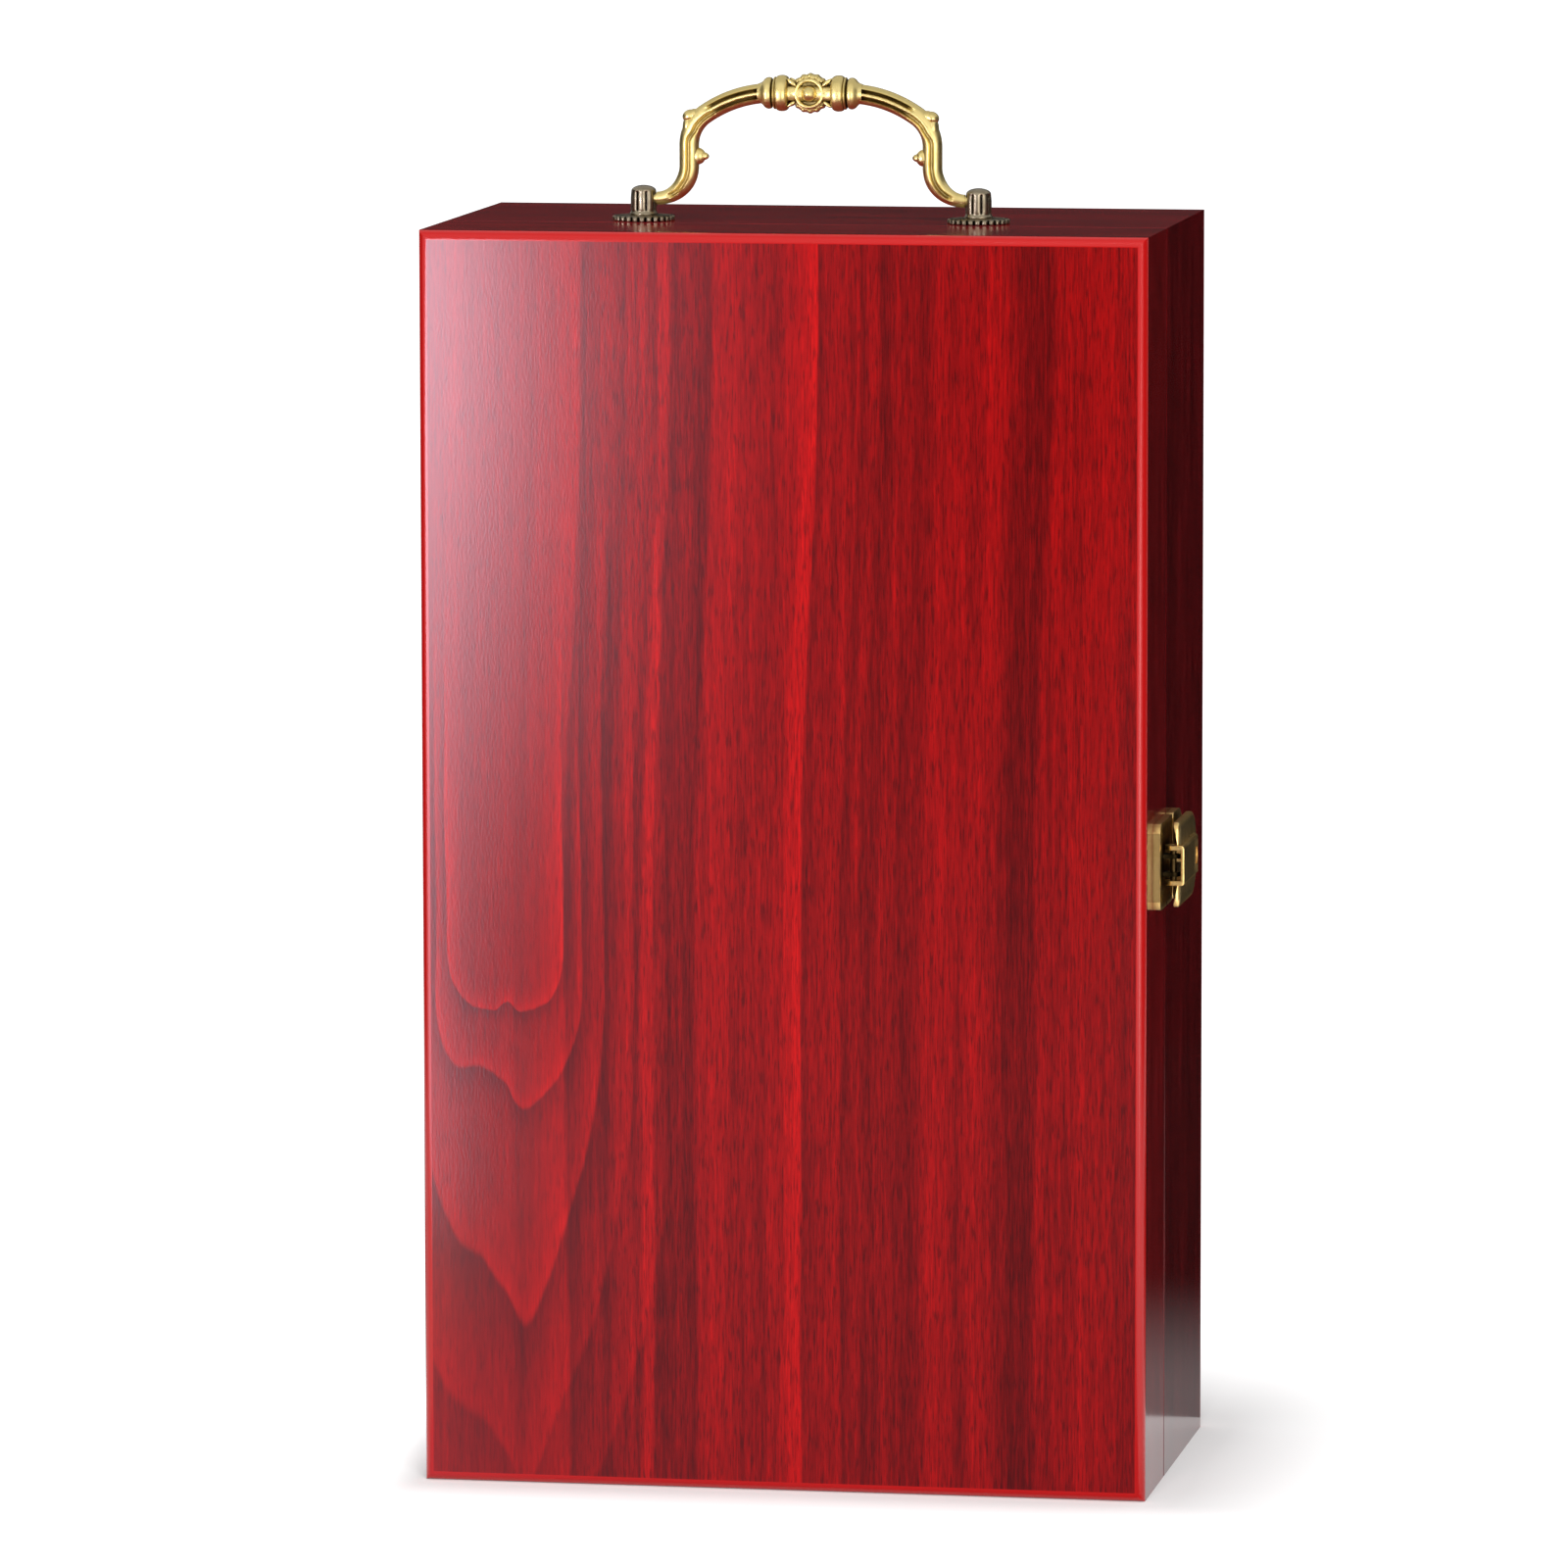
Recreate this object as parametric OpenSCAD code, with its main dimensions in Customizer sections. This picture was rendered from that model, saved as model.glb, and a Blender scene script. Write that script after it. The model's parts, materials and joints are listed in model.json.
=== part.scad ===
// Wooden wine box for two bottles: a deep case, a hinged front lid, a brass
// latch on the right side and a swing handle on the top.
// The origin is under the middle of the closed box, on the surface it stands
// on: +X points to the latch side, -Y to the lid, +Z up. Millimetres.

/* [Box] */
// Width of the box, hinge side to latch side
box_w = 206; // [200:1:240]
// Depth of the closed box, lid face to back face
box_d = 120; // [114:1:140]
// Height of the box without its handle
box_h = 355; // [345:1:385]
// Depth of the lid, from its face to the seam
lid_d = 40; // [38:1:50]
// Thickness of the side boards
wall_t = 9; // [8:0.5:11]
// Thickness of the lid's panel and the back panel
panel_t = 5; // [4:0.5:7]
// Radius of the rounded edges of both panels
edge_r = 2.7; // [1:0.1:3.5]
// Bevel on the outer edges of the seam
seam_bevel = 0.6; // [0.3:0.1:1]

/* [Lining and rests] */
// Thickness of the velvet covered lining boards
lining_t = 2; // [1.8:0.1:3]
// How far the lining stands out of the case as a locating lip
lip_h = 6; // [3:0.5:8]
// Room between the lip and the lid's boards
lip_gap = 0.5; // [0.3:0.1:0.8]
// Thickness of the divider between the bottles
divider_t = 6; // [4:0.5:8]
// Radius of the bottles that the box holds
bottle_r = 38; // [36:0.5:39.5]
// Radius of a bottle's neck
neck_r = 15.5; // [13:0.5:17]
// Room round a bottle in its rests
bottle_gap = 1.5; // [0.5:0.25:2]
// Thickness of the bottle rests
rest_t = 12; // [8:1:20]
// Height of the lower rests above the bottom lining
heel_rest_up = 40; // [25:1:80]
// Height of the neck rests above the bottom lining
neck_rest_up = 262; // [240:1:290]

/* [Hinges] */
// Length of each hinge
hinge_len = 38; // [30:1:50]
// Distance from an end of the box to the middle of its hinge
hinge_inset = 60; // [40:1:90]
// Width of a hinge leaf, let into the board's edge
leaf_w = 7.5; // [6:0.25:7.75]
// Thickness of a hinge leaf
leaf_t = 1.2; // [0.9:0.1:1.6]
// Gap between the two leaves of a closed hinge
leaf_gap = 0.3; // [0.2:0.05:0.5]
// Radius of a hinge knuckle
knuckle_r = 2; // [1.8:0.1:2.6]
// Room between a knuckle and the side of the box
knuckle_gap = 0.3; // [0.3:0.05:0.6]
// Gap between two knuckles
knuckle_slit = 0.2; // [0.1:0.05:0.4]
// Radius of a hinge pin
hinge_pin_r = 1; // [0.8:0.05:1.2]
// Radius of the hinge pins' round heads
hinge_head_r = 1.7; // [1.4:0.1:1.8]

/* [Latch] */
// Height of the latch's middle above the bottom of the box
latch_z = 177.7; // [100:0.1:250]
// Height of the latch plates
latch_h = 24.5; // [22:0.5:30]
// Length of the lid plate in front of the seam
lid_plate_len = 26; // [24:0.5:32]
// Length of the case plate behind the seam
case_plate_len = 20; // [18:0.5:26]
// Thickness of both latch plates
latch_plate_t = 2.1; // [1.6:0.1:2.6]
// Gap between a latch plate and the seam
plate_inset = 0.6; // [0.4:0.1:1]
// Distance from the lid plate's front edge to the hasp's pin
hasp_pin_in = 8; // [7:0.5:9]
// Height of the hasp's pin above the lid plate
hasp_pin_up = 2.7; // [2.5:0.1:2.8]
// Radius of the hasp's pin
hasp_pin_r = 0.9; // [0.7:0.05:1]
// Gap under the hasp's shield
hasp_lift = 2.6; // [2.2:0.1:3]
// Thickness of the hasp's shield
hasp_t = 2.1; // [1.6:0.1:2.6]
// Height of the hasp's rib above the shield
rib_rise = 1.4; // [1.2:0.1:2]
// Width of the hasp's rib
rib_w = 11.3; // [10:0.1:12]
// Wall of the hasp's rib and cheeks
rib_wall = 1; // [0.8:0.1:1.2]
// Length of the hasp behind the catch knob
hasp_tail = 11.5; // [9:0.5:14]
// Distance from the seam to the middle of the catch knob
knob_in = 4.5; // [4:0.5:6]
// Radius of the catch knob
knob_r = 2.2; // [1.8:0.1:2.6]
// Room round the knob in the hasp's window
knob_gap = 0.4; // [0.3:0.1:0.6]

/* [Handle] */
// Distance between the two handle posts
handle_span = 96; // [88:1:112]
// Distance from the seam back to the handle posts
handle_in = 10; // [9.5:0.5:14]
// Height of the posts above the box
post_h = 10; // [9.5:0.1:12]
// Radius of a post's foot
post_foot_r = 3.95; // [3.7:0.05:4.4]
// Radius of a post at the handle's pivot
post_r = 3.5; // [3.2:0.05:3.65]
// Radius of the roses under the posts
rose_r = 8.9; // [7.5:0.1:9.4]
// Thickness of the roses
rose_t = 1.5; // [1:0.1:2]
// Number of scallops round a rose
rose_scallops = 26; // [18:2:32]
// Number of flutes round a post
post_flutes = 8; // [6:2:12]
// Height of the handle's pivot above the box
pivot_h = 6.3; // [6:0.1:6.8]
// Radius of the handle's pivot pins
pivot_pin_r = 1.4; // [1:0.05:1.5]
// Radius of the studs that hold the posts
stud_r = 1.5; // [1.2:0.05:1.75]
// Half the thickness of the handle's bail
bail_r = 2.8; // [2.2:0.1:3]
// Radius of the bail where it meets a post
bail_foot_r = 1.85; // [1.7:0.05:2.2]
// Gap between the bail's end and the post
bail_gap = 0.35; // [0.3:0.05:0.8]
// Radius of the bend above a post
foot_bend_r = 9.3; // [8:0.1:11]
// Straight length above that bend
arm_len = 5.9; // [4:0.1:9]
// Radius of the shoulder bend
shoulder_r = 10.5; // [9:0.5:12]
// Half the length of the grip between its small beads
grip_half = 13.6; // [13:0.1:15]
// Radius of the round ornament in the middle of the grip
rosette_r = 5.9; // [5:0.1:6.4]

/* [Fits] */
// Running clearance of each pin in its hole, on the radius
run_gap = 0.05; // [0.02:0.01:0.09]
// Clearance of screws, studs and let in leaves
seat_gap = 0.05; // [0.02:0.01:0.1]

/* [Hidden] */

$fn = 64;
eps = 0.01;
// How far a cut runs past the surface that it opens
over = 1;

// Colours, as the photograph shows them
lacquer_red = [0.66, 0.09, 0.10];
side_red = [0.33, 0.10, 0.11];
velvet_red = [0.30, 0.05, 0.09];
brass_gold = [0.82, 0.66, 0.30];
old_bronze = [0.55, 0.50, 0.42];
old_brass = [0.48, 0.40, 0.20];
steel_grey = [0.62, 0.62, 0.63];

// Places along the depth of the box
lid_face_y = -box_d / 2;
seam_y = lid_face_y + lid_d;
back_face_y = box_d / 2;
case_back_y = back_face_y - panel_t;
lid_back_y = lid_face_y + panel_t;
lining_back_y = case_back_y - lining_t;
lip_y = seam_y - lip_h;

// Places across and up the box
inner_w = box_w - 2 * wall_t;
inner_h = box_h - 2 * wall_t;
bay_w = inner_w / 2 - lining_t - divider_t / 2;
bay_x = divider_t / 2 + bay_w / 2;
bottle_y = (lid_back_y + lining_t + lining_back_y) / 2;
floor_z = wall_t + lining_t;

// Hinges
hinge_x = -box_w / 2 - knuckle_gap - knuckle_r;
hinge_zs = [hinge_inset, box_h - hinge_inset];
knuckles = 5;
knuckle_len = hinge_len / knuckles;
leaf_near = leaf_gap / 2;
leaf_far = leaf_near + leaf_t;
leaf_screw_x = -box_w / 2 + leaf_w / 2;
leaf_screw_pitch = hinge_len / 3;
head_t = 0.8;

// Screws of the hinges and the latch
screw_r = 1;
screw_head_r = 1.9;
screw_head_t = 0.9;
screw_len = 7.5;
screw_tip = 1.5;
screw_tip_r = 0.2;
screw_slot_w = 0.5;
screw_slot_d = 0.4;

// Latch, in its own place: first along the depth from the seam, then up, then out of the side
swing_gap = 0.4;
hasp_pin_u = hasp_pin_in - lid_plate_len;
hasp_pin_w = latch_plate_t + hasp_pin_up;
shield_low = latch_plate_t + hasp_lift;
shield_high = shield_low + hasp_t;
rib_high = shield_high + rib_rise;
rib_inner = rib_high - rib_wall;
ear_r = rib_inner - hasp_pin_w - swing_gap;
ear_t = 1.2;
ear_v = 1.9;
cheek_r = hasp_pin_up - swing_gap;
mouth_ahead = 2;
mouth_u = hasp_pin_u - mouth_ahead;
shield_ahead = 1.3;
shield_front_u = hasp_pin_u - shield_ahead;
shield_end_u = knob_in + hasp_tail;
shield_side_in = 0.2;
shield_v = latch_h / 2 - shield_side_in;
shield_edge_t = hasp_t / 3;
shield_bevel = 2.2;
shield_front_r = 2.4;
shield_rear_r = 9.5;
shield_top_r = 1;
rib_tail = 6;
rib_end_u = knob_in + rib_tail;
rib_flat_tail = 3.4;
rib_flat_u = knob_in + rib_flat_tail;
knob_low = 0.3;
knob_high = rib_high - knob_low;
window_r = knob_r + knob_gap;
latch_corner_r = 3;
latch_rear_r = 8;
latch_screw_edge = 3.4;
latch_screw_v = latch_h / 2 - latch_screw_edge;
seam_screw_in = 3;
rear_screw_in = 4.2;
lid_screw_us = [-lid_plate_len + latch_screw_edge, -plate_inset - seam_screw_in];
case_screw_us = [knob_in, case_plate_len - rear_screw_in];

// Handle
handle_y = seam_y + handle_in;
nut_t = 2.4;
nut_r = 3.2;
nut_room = 0.4;
nut_pocket_r = nut_r + nut_room;
nut_pocket_t = nut_t + nut_room;
stud_short = 0.4;
post_rim_t = 0.6;
post_cove_t = 0.8;
post_cap_t = 1.6;
post_taper = 0.3;
post_top_r = post_r - post_taper;
post_cap_steps = 6;
flute_r = 0.5;
flute_up = 1;
rose_rim = 0.7;
rose_rim_r = rose_r - rose_rim;
rose_edge_t = 0.6 * rose_t;
scallop_r = 0.8;
pivot_past = 0.4;
pivot_pin_len = post_r + bail_gap + 2;
small_bead_r = 4.5;
small_bead_w = 3;
large_bead_r = 5.15;
large_bead_w = 4.7;
grip_core_r = 3.1;
rosette_t = 5.2;
rosette_ring_r = 3.7;
rosette_ring_t = 1;
rosette_button_r = 2.5;
shoulder_bud_r = 2.3;
arm_bud_r = 2;

// The left half of the bail's line, from the post to the grip, seen from the front with x
// from the middle of the grip and z from the top of the box
foot_x = -handle_span / 2 + post_r + bail_gap;
foot_c = [foot_x, pivot_h + foot_bend_r];
arm_x = foot_x + foot_bend_r;
shoulder_c = [arm_x + shoulder_r, foot_c[1] + arm_len];
shoulder_end = 125;
shoulder_bud = [arm_x + 0.1, shoulder_c[1] + 7.6];
arm_bud = [arm_x + 2.9, foot_c[1] + 2.9];
arch_end_x = small_bead_w - grip_half;
arch_r = shoulder_r + (arch_end_x - shoulder_c[0]) / abs(cos(shoulder_end));
arch_c = shoulder_c + (shoulder_r - arch_r) * [cos(shoulder_end), sin(shoulder_end)];
grip_z = arch_c[1] + arch_r;
foot_steps = 10;
shoulder_steps = 6;
arch_steps = 9;
bail_sides = 12;
bail_depth = 0.92;

function arc_point(c, r, a) = [c[0] + r * cos(a), c[1] + r * sin(a)];
function lerp(a, b, t) = a + (b - a) * t;

// Each station of the bail: its point, the angle of its outward normal and its radius
half_bail = concat(
    [for (i = [0:foot_steps])
        let (a = lerp(-90, 0, i / foot_steps))
        [arc_point(foot_c, foot_bend_r, a), a, lerp(bail_foot_r, bail_r, i / foot_steps)]],
    [for (i = [0:shoulder_steps])
        let (a = lerp(180, shoulder_end, i / shoulder_steps))
        [arc_point(shoulder_c, shoulder_r, a), a - 180, bail_r]],
    [for (i = [1:arch_steps])
        let (a = lerp(shoulder_end, 90, i / arch_steps))
        [arc_point(arch_c, arch_r, a), a - 180, bail_r]]
);
half_count = len(half_bail);
bail_line = concat(
    half_bail,
    [for (i = [half_count - 1:-1:0])
        let (s = half_bail[i])
        [[-s[0][0], s[0][1]], -180 - s[1], s[2]]]
);

function bail_ring(s) = [
    for (k = [0:bail_sides - 1])
        let (a = 360 * k / bail_sides, n = s[2] * cos(a))
        [s[0][0] + n * cos(s[1]), s[2] * bail_depth * sin(a), s[0][1] + n * sin(s[1])]
];

// Puts children on one side of the box, their z = 0 on the outer face.
// Sides go round from the top: 0 top, 1 right, 2 bottom, 3 left.
module on_side(side) {
    reach = side % 2 == 0 ? box_h / 2 : box_w / 2;
    translate([0, 0, box_h / 2]) rotate([0, 90 * side, 0]) translate([0, 0, reach]) children();
}

// Puts children on the right side at the seam: x goes back, y up and z out
module at_latch() {
    translate([box_w / 2, seam_y, latch_z]) rotate([90, 0, 90]) children();
}

// A box given by its two corners
module block(low, high) {
    translate(low) cube(high - low);
}

// A panel with two rounded front edges in section, as long as given
module round_edged(w, length) {
    linear_extrude(length) difference() {
        translate([-w / 2, 0]) square([w, panel_t]);
        for (m = [0, 1]) mirror([m, 0]) difference() {
            translate([w / 2 - edge_r, -over]) square(edge_r + over);
            translate([w / 2 - edge_r, edge_r]) circle(edge_r);
        }
    }
}

// A face panel whose four front edges are rounded and meet in mitred corners
module face_panel() {
    intersection() {
        round_edged(box_w, box_h);
        translate([box_w / 2, 0, box_h / 2]) rotate([0, -90, 0]) round_edged(box_h, box_w);
    }
}

// A side board from y0 to y1, mitred at both ends; edge is its section along the depth
module board(side, y0, y1, edge) {
    half = (side % 2 == 0 ? box_w : box_h) / 2;
    ends = [[-half, 0], [half, 0], [half - wall_t, -wall_t], [wall_t - half, -wall_t]];
    on_side(side) intersection() {
        translate([0, y1, 0]) rotate([90, 0, 0]) linear_extrude(y1 - y0) polygon(ends);
        translate([-half, 0, 0]) rotate([90, 0, 90]) linear_extrude(2 * half) polygon(edge);
    }
}

module lid_rail(side) {
    board(side, lid_back_y, seam_y, [
        [lid_back_y, -wall_t], [seam_y, -wall_t], [seam_y, -seam_bevel],
        [seam_y - seam_bevel, 0], [lid_back_y, 0]
    ]);
}

module case_board(side) {
    board(side, seam_y, case_back_y, [
        [seam_y, -wall_t], [case_back_y, -wall_t], [case_back_y, 0],
        [seam_y + seam_bevel, 0], [seam_y, -seam_bevel]
    ]);
}

// One lining board: full thickness in the case, and a thinner lip that enters the lid
module liner(side) {
    across = side % 2 == 0;
    half = across ? inner_w / 2 : inner_h / 2 - lining_t;
    lip_half = across ? half - lip_gap : half;
    color(velvet_red) on_side(side) translate([0, 0, -wall_t]) union() {
        block([-half, seam_y, -lining_t], [half, lining_back_y, 0]);
        block([-lip_half, lip_y, -lining_t], [lip_half, seam_y + eps, -lip_gap]);
    }
}

// Countersunk screw: the top of its head is at z = 0 and its tip points down
module screw() {
    difference() {
        union() {
            translate([0, 0, -screw_head_t]) cylinder(h = screw_head_t, r1 = screw_r, r2 = screw_head_r);
            translate([0, 0, screw_tip - screw_len]) cylinder(h = screw_len - screw_tip, r = screw_r);
            translate([0, 0, -screw_len]) cylinder(h = screw_tip, r1 = screw_tip_r, r2 = screw_r);
        }
        for (a = [0, 90]) rotate([0, 0, a])
            block([-screw_r, -screw_slot_w / 2, -screw_slot_d], [screw_r, screw_slot_w / 2, over]);
    }
}

// The hole that the screw needs
module screw_hole() {
    translate([0, 0, -screw_len - seat_gap]) cylinder(h = screw_len + over, r = screw_r + seat_gap);
    translate([0, 0, -screw_head_t]) cylinder(
        h = screw_head_t + eps, r1 = screw_r + seat_gap, r2 = screw_head_r + seat_gap);
    cylinder(h = over, r = screw_head_r + seat_gap);
}

// Puts children at each screw of one side of the hinges: way is 1 for the case, -1 for the lid
module at_leaf_screws(way, zs) {
    for (z = zs, i = [-1:1])
        translate([leaf_screw_x, seam_y + way * leaf_near, z + i * leaf_screw_pitch])
            rotate([way * 90, 0, 0]) children();
}

// The pocket that a hinge leaf is let into
module leaf_pockets(way) {
    deep = leaf_far + seat_gap;
    for (z = hinge_zs) {
        y0 = way > 0 ? seam_y - over : seam_y - deep;
        y1 = way > 0 ? seam_y + deep : seam_y + over;
        block(
            [-box_w / 2 - over, y0, z - hinge_len / 2 - seat_gap],
            [-box_w / 2 + leaf_w + seat_gap, y1, z + hinge_len / 2 + seat_gap]);
    }
}

// One leaf with its knuckles. The case's leaf has the first, third and fifth knuckle.
module hinge_leaf(way, z) {
    y0 = way > 0 ? leaf_near : -leaf_far;
    first = way > 0 ? 0 : 1;
    low = z - hinge_len / 2;
    color(old_brass) difference() {
        union() {
            block(
                [-box_w / 2, seam_y + y0, low],
                [-box_w / 2 + leaf_w, seam_y + y0 + leaf_t, low + hinge_len]);
            for (i = [first:2:knuckles - 1]) {
                z0 = low + i * knuckle_len + (i == 0 ? 0 : knuckle_slit / 2);
                z1 = low + (i + 1) * knuckle_len - (i == knuckles - 1 ? 0 : knuckle_slit / 2);
                translate([hinge_x, seam_y, z0]) cylinder(h = z1 - z0, r = knuckle_r);
                block([hinge_x, seam_y + y0, z0], [-box_w / 2 + eps, seam_y + y0 + leaf_t, z1]);
            }
        }
        translate([hinge_x, seam_y, low - over])
            cylinder(h = hinge_len + 2 * over, r = hinge_pin_r + run_gap);
        at_leaf_screws(way, [z]) screw_hole();
    }
}

module hinge_pin(z) {
    low = z - hinge_len / 2;
    color(brass_gold) translate([hinge_x, seam_y, low]) union() {
        translate([0, 0, -eps]) cylinder(h = hinge_len + 2 * eps, r = hinge_pin_r);
        translate([0, 0, -head_t]) cylinder(h = head_t, r = hinge_head_r);
        translate([0, 0, hinge_len]) cylinder(h = head_t, r = hinge_head_r);
    }
}

module lid_panel() {
    color(lacquer_red) translate([0, lid_face_y, 0]) face_panel();
}

module lid_rail_top() {
    color(side_red) lid_rail(0);
}

module lid_rail_right() {
    color(side_red) difference() {
        lid_rail(1);
        at_latch() for (u = lid_screw_us, v = [-latch_screw_v, latch_screw_v])
            translate([u, v, latch_plate_t]) screw_hole();
    }
}

module lid_rail_bottom() {
    color(side_red) lid_rail(2);
}

module lid_rail_left() {
    color(side_red) difference() {
        lid_rail(3);
        leaf_pockets(-1);
        at_leaf_screws(-1, hinge_zs) screw_hole();
    }
}

module lid_liner() {
    color(velvet_red) block(
        [-inner_w / 2, lid_back_y, wall_t],
        [inner_w / 2, lid_back_y + lining_t, box_h - wall_t]);
}

module hinge_lid_leaf_upper() {
    hinge_leaf(-1, hinge_zs[1]);
}

module hinge_lid_leaf_lower() {
    hinge_leaf(-1, hinge_zs[0]);
}

module hinge_lid_screws() {
    color(brass_gold) at_leaf_screws(-1, hinge_zs) screw();
}

// A latch plate from u0 to u1 with small corners at the front and large ones at the back
module latch_plate(u0, u1, r0, r1) {
    linear_extrude(latch_plate_t) union() {
        translate([u0 + r0, -latch_h / 2]) square([u1 - u0 - r0 - r1, latch_h]);
        translate([u0, r0 - latch_h / 2]) square([r0 + eps, latch_h - 2 * r0]);
        translate([u1 - r1 - eps, r1 - latch_h / 2]) square([r1 + eps, latch_h - 2 * r1]);
        for (v = [-1, 1]) {
            translate([u0 + r0, v * (latch_h / 2 - r0)]) circle(r0);
            translate([u1 - r1, v * (latch_h / 2 - r1)]) circle(r1);
        }
    }
}

module latch_lid_plate() {
    color(old_brass) at_latch() difference() {
        union() {
            latch_plate(-lid_plate_len, -plate_inset, latch_corner_r, latch_corner_r / 2);
            for (v = [-ear_v - ear_t, ear_v]) {
                translate([hasp_pin_u, v + ear_t, hasp_pin_w])
                    rotate([90, 0, 0]) cylinder(h = ear_t, r = ear_r);
                block(
                    [hasp_pin_u - ear_r, v, latch_plate_t - eps],
                    [hasp_pin_u + ear_r, v + ear_t, hasp_pin_w]);
            }
        }
        translate([hasp_pin_u, latch_h, hasp_pin_w]) rotate([90, 0, 0])
            cylinder(h = 2 * latch_h, r = hasp_pin_r + run_gap);
        for (u = lid_screw_us, v = [-latch_screw_v, latch_screw_v])
            translate([u, v, latch_plate_t]) screw_hole();
    }
}

module latch_pin() {
    color(brass_gold) at_latch() translate([hasp_pin_u, rib_w / 2, hasp_pin_w])
        rotate([90, 0, 0]) cylinder(h = rib_w, r = hasp_pin_r);
}

module latch_lid_screws() {
    color(old_brass) at_latch() for (u = lid_screw_us, v = [-latch_screw_v, latch_screw_v])
        translate([u, v, latch_plate_t]) screw();
}

// The hasp's shield: a plate whose outer face is bevelled all round, with a round rear end
module hasp_shield() {
    front_u = shield_front_u + shield_front_r;
    rear_u = shield_end_u - shield_rear_r;
    hull() for (v = [-1, 1]) {
        translate([front_u, v * (shield_v - shield_front_r), shield_low])
            cylinder(h = shield_edge_t, r = shield_front_r, $fn = 32);
        translate([rear_u, v * (shield_v - shield_rear_r), shield_low])
            cylinder(h = shield_edge_t, r = shield_rear_r, $fn = 32);
        translate([front_u, v * (shield_v - shield_bevel - shield_top_r), shield_low])
            cylinder(h = hasp_t, r = shield_top_r, $fn = 32);
        translate([rear_u, v * (shield_v - shield_rear_r), shield_low])
            cylinder(h = hasp_t, r = shield_rear_r - shield_bevel, $fn = 32);
    }
}

// The rib along the middle of the hasp, seen from the side: flat, then sloping to the shield
module hasp_rib() {
    translate([0, rib_w / 2, 0]) rotate([90, 0, 0]) linear_extrude(rib_w) polygon([
        [mouth_u, hasp_pin_w], [shield_front_u, shield_low], [rib_end_u, shield_low],
        [rib_end_u, shield_high], [rib_flat_u, rib_high], [mouth_u, rib_high]
    ]);
}

// The rib's hollow, open at the front and underneath
module hasp_hollow() {
    front_u = mouth_u - over;
    rear_u = rib_end_u - 2 * rib_wall;
    translate([0, rib_w / 2 - rib_wall, 0]) rotate([90, 0, 0]) linear_extrude(rib_w - 2 * rib_wall) polygon([
        [front_u, 0], [rear_u, 0], [rear_u, rib_inner - rib_rise],
        [rib_flat_u - rib_wall / 2, rib_inner], [front_u, rib_inner]
    ]);
}

module latch_hasp() {
    color(old_brass) at_latch() difference() {
        union() {
            hasp_shield();
            hasp_rib();
            translate([hasp_pin_u, rib_w / 2, hasp_pin_w])
                rotate([90, 0, 0]) cylinder(h = rib_w, r = cheek_r);
        }
        hasp_hollow();
        translate([hasp_pin_u, rib_w, hasp_pin_w]) rotate([90, 0, 0])
            cylinder(h = 2 * rib_w, r = hasp_pin_r + run_gap);
        translate([knob_in, 0, 0]) cylinder(h = rib_high + over, r = window_r);
    }
}

module back_panel() {
    color(lacquer_red) translate([0, back_face_y, 0]) rotate([0, 0, 180]) face_panel();
}

module case_board_top() {
    color(side_red) difference() {
        case_board(0);
        for (x = [-handle_span / 2, handle_span / 2]) translate([x, handle_y, box_h - wall_t - over]) {
            cylinder(h = wall_t + 2 * over, r = stud_r + seat_gap);
            cylinder(h = nut_pocket_t + over, r = nut_pocket_r);
        }
    }
}

module case_board_right() {
    color(side_red) difference() {
        case_board(1);
        at_latch() for (u = case_screw_us, v = [-latch_screw_v, latch_screw_v])
            translate([u, v, latch_plate_t]) screw_hole();
    }
}

module case_board_bottom() {
    color(side_red) case_board(2);
}

module case_board_left() {
    color(side_red) difference() {
        case_board(3);
        leaf_pockets(1);
        at_leaf_screws(1, hinge_zs) screw_hole();
    }
}

module liner_back() {
    color(velvet_red) block(
        [-inner_w / 2, lining_back_y, wall_t],
        [inner_w / 2, case_back_y, box_h - wall_t]);
}

module liner_top() {
    liner(0);
}

module liner_right() {
    liner(1);
}

module liner_bottom() {
    liner(2);
}

module liner_left() {
    liner(3);
}

module bottle_divider() {
    color(velvet_red) block(
        [-divider_t / 2, lip_y, floor_z],
        [divider_t / 2, lining_back_y, box_h - floor_z]);
}

// A rest across one bay, with a half round notch that the bottle lies in: way is -1 or 1
module rest(way, up, notch_r) {
    low = floor_z + up;
    color(velvet_red) difference() {
        block(
            [way * bay_x - bay_w / 2, bottle_y, low],
            [way * bay_x + bay_w / 2, lining_back_y, low + rest_t]);
        translate([way * bay_x, bottle_y, low - over]) cylinder(h = rest_t + 2 * over, r = notch_r);
    }
}

module neck_rest_left() {
    rest(-1, neck_rest_up, neck_r + bottle_gap);
}

module neck_rest_right() {
    rest(1, neck_rest_up, neck_r + bottle_gap);
}

module heel_rest_left() {
    rest(-1, heel_rest_up, bottle_r + bottle_gap);
}

module heel_rest_right() {
    rest(1, heel_rest_up, bottle_r + bottle_gap);
}

module hinge_case_leaf_upper() {
    hinge_leaf(1, hinge_zs[1]);
}

module hinge_case_leaf_lower() {
    hinge_leaf(1, hinge_zs[0]);
}

module hinge_pin_upper() {
    hinge_pin(hinge_zs[1]);
}

module hinge_pin_lower() {
    hinge_pin(hinge_zs[0]);
}

module hinge_case_screws() {
    color(brass_gold) at_leaf_screws(1, hinge_zs) screw();
}

module latch_case_plate() {
    color(old_brass) at_latch() difference() {
        union() {
            latch_plate(plate_inset, case_plate_len, latch_corner_r / 2, latch_rear_r);
            translate([knob_in, 0, latch_plate_t - eps])
                cylinder(h = knob_high - latch_plate_t + eps, r = knob_r);
        }
        for (u = case_screw_us, v = [-latch_screw_v, latch_screw_v])
            translate([u, v, latch_plate_t]) screw_hole();
    }
}

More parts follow.
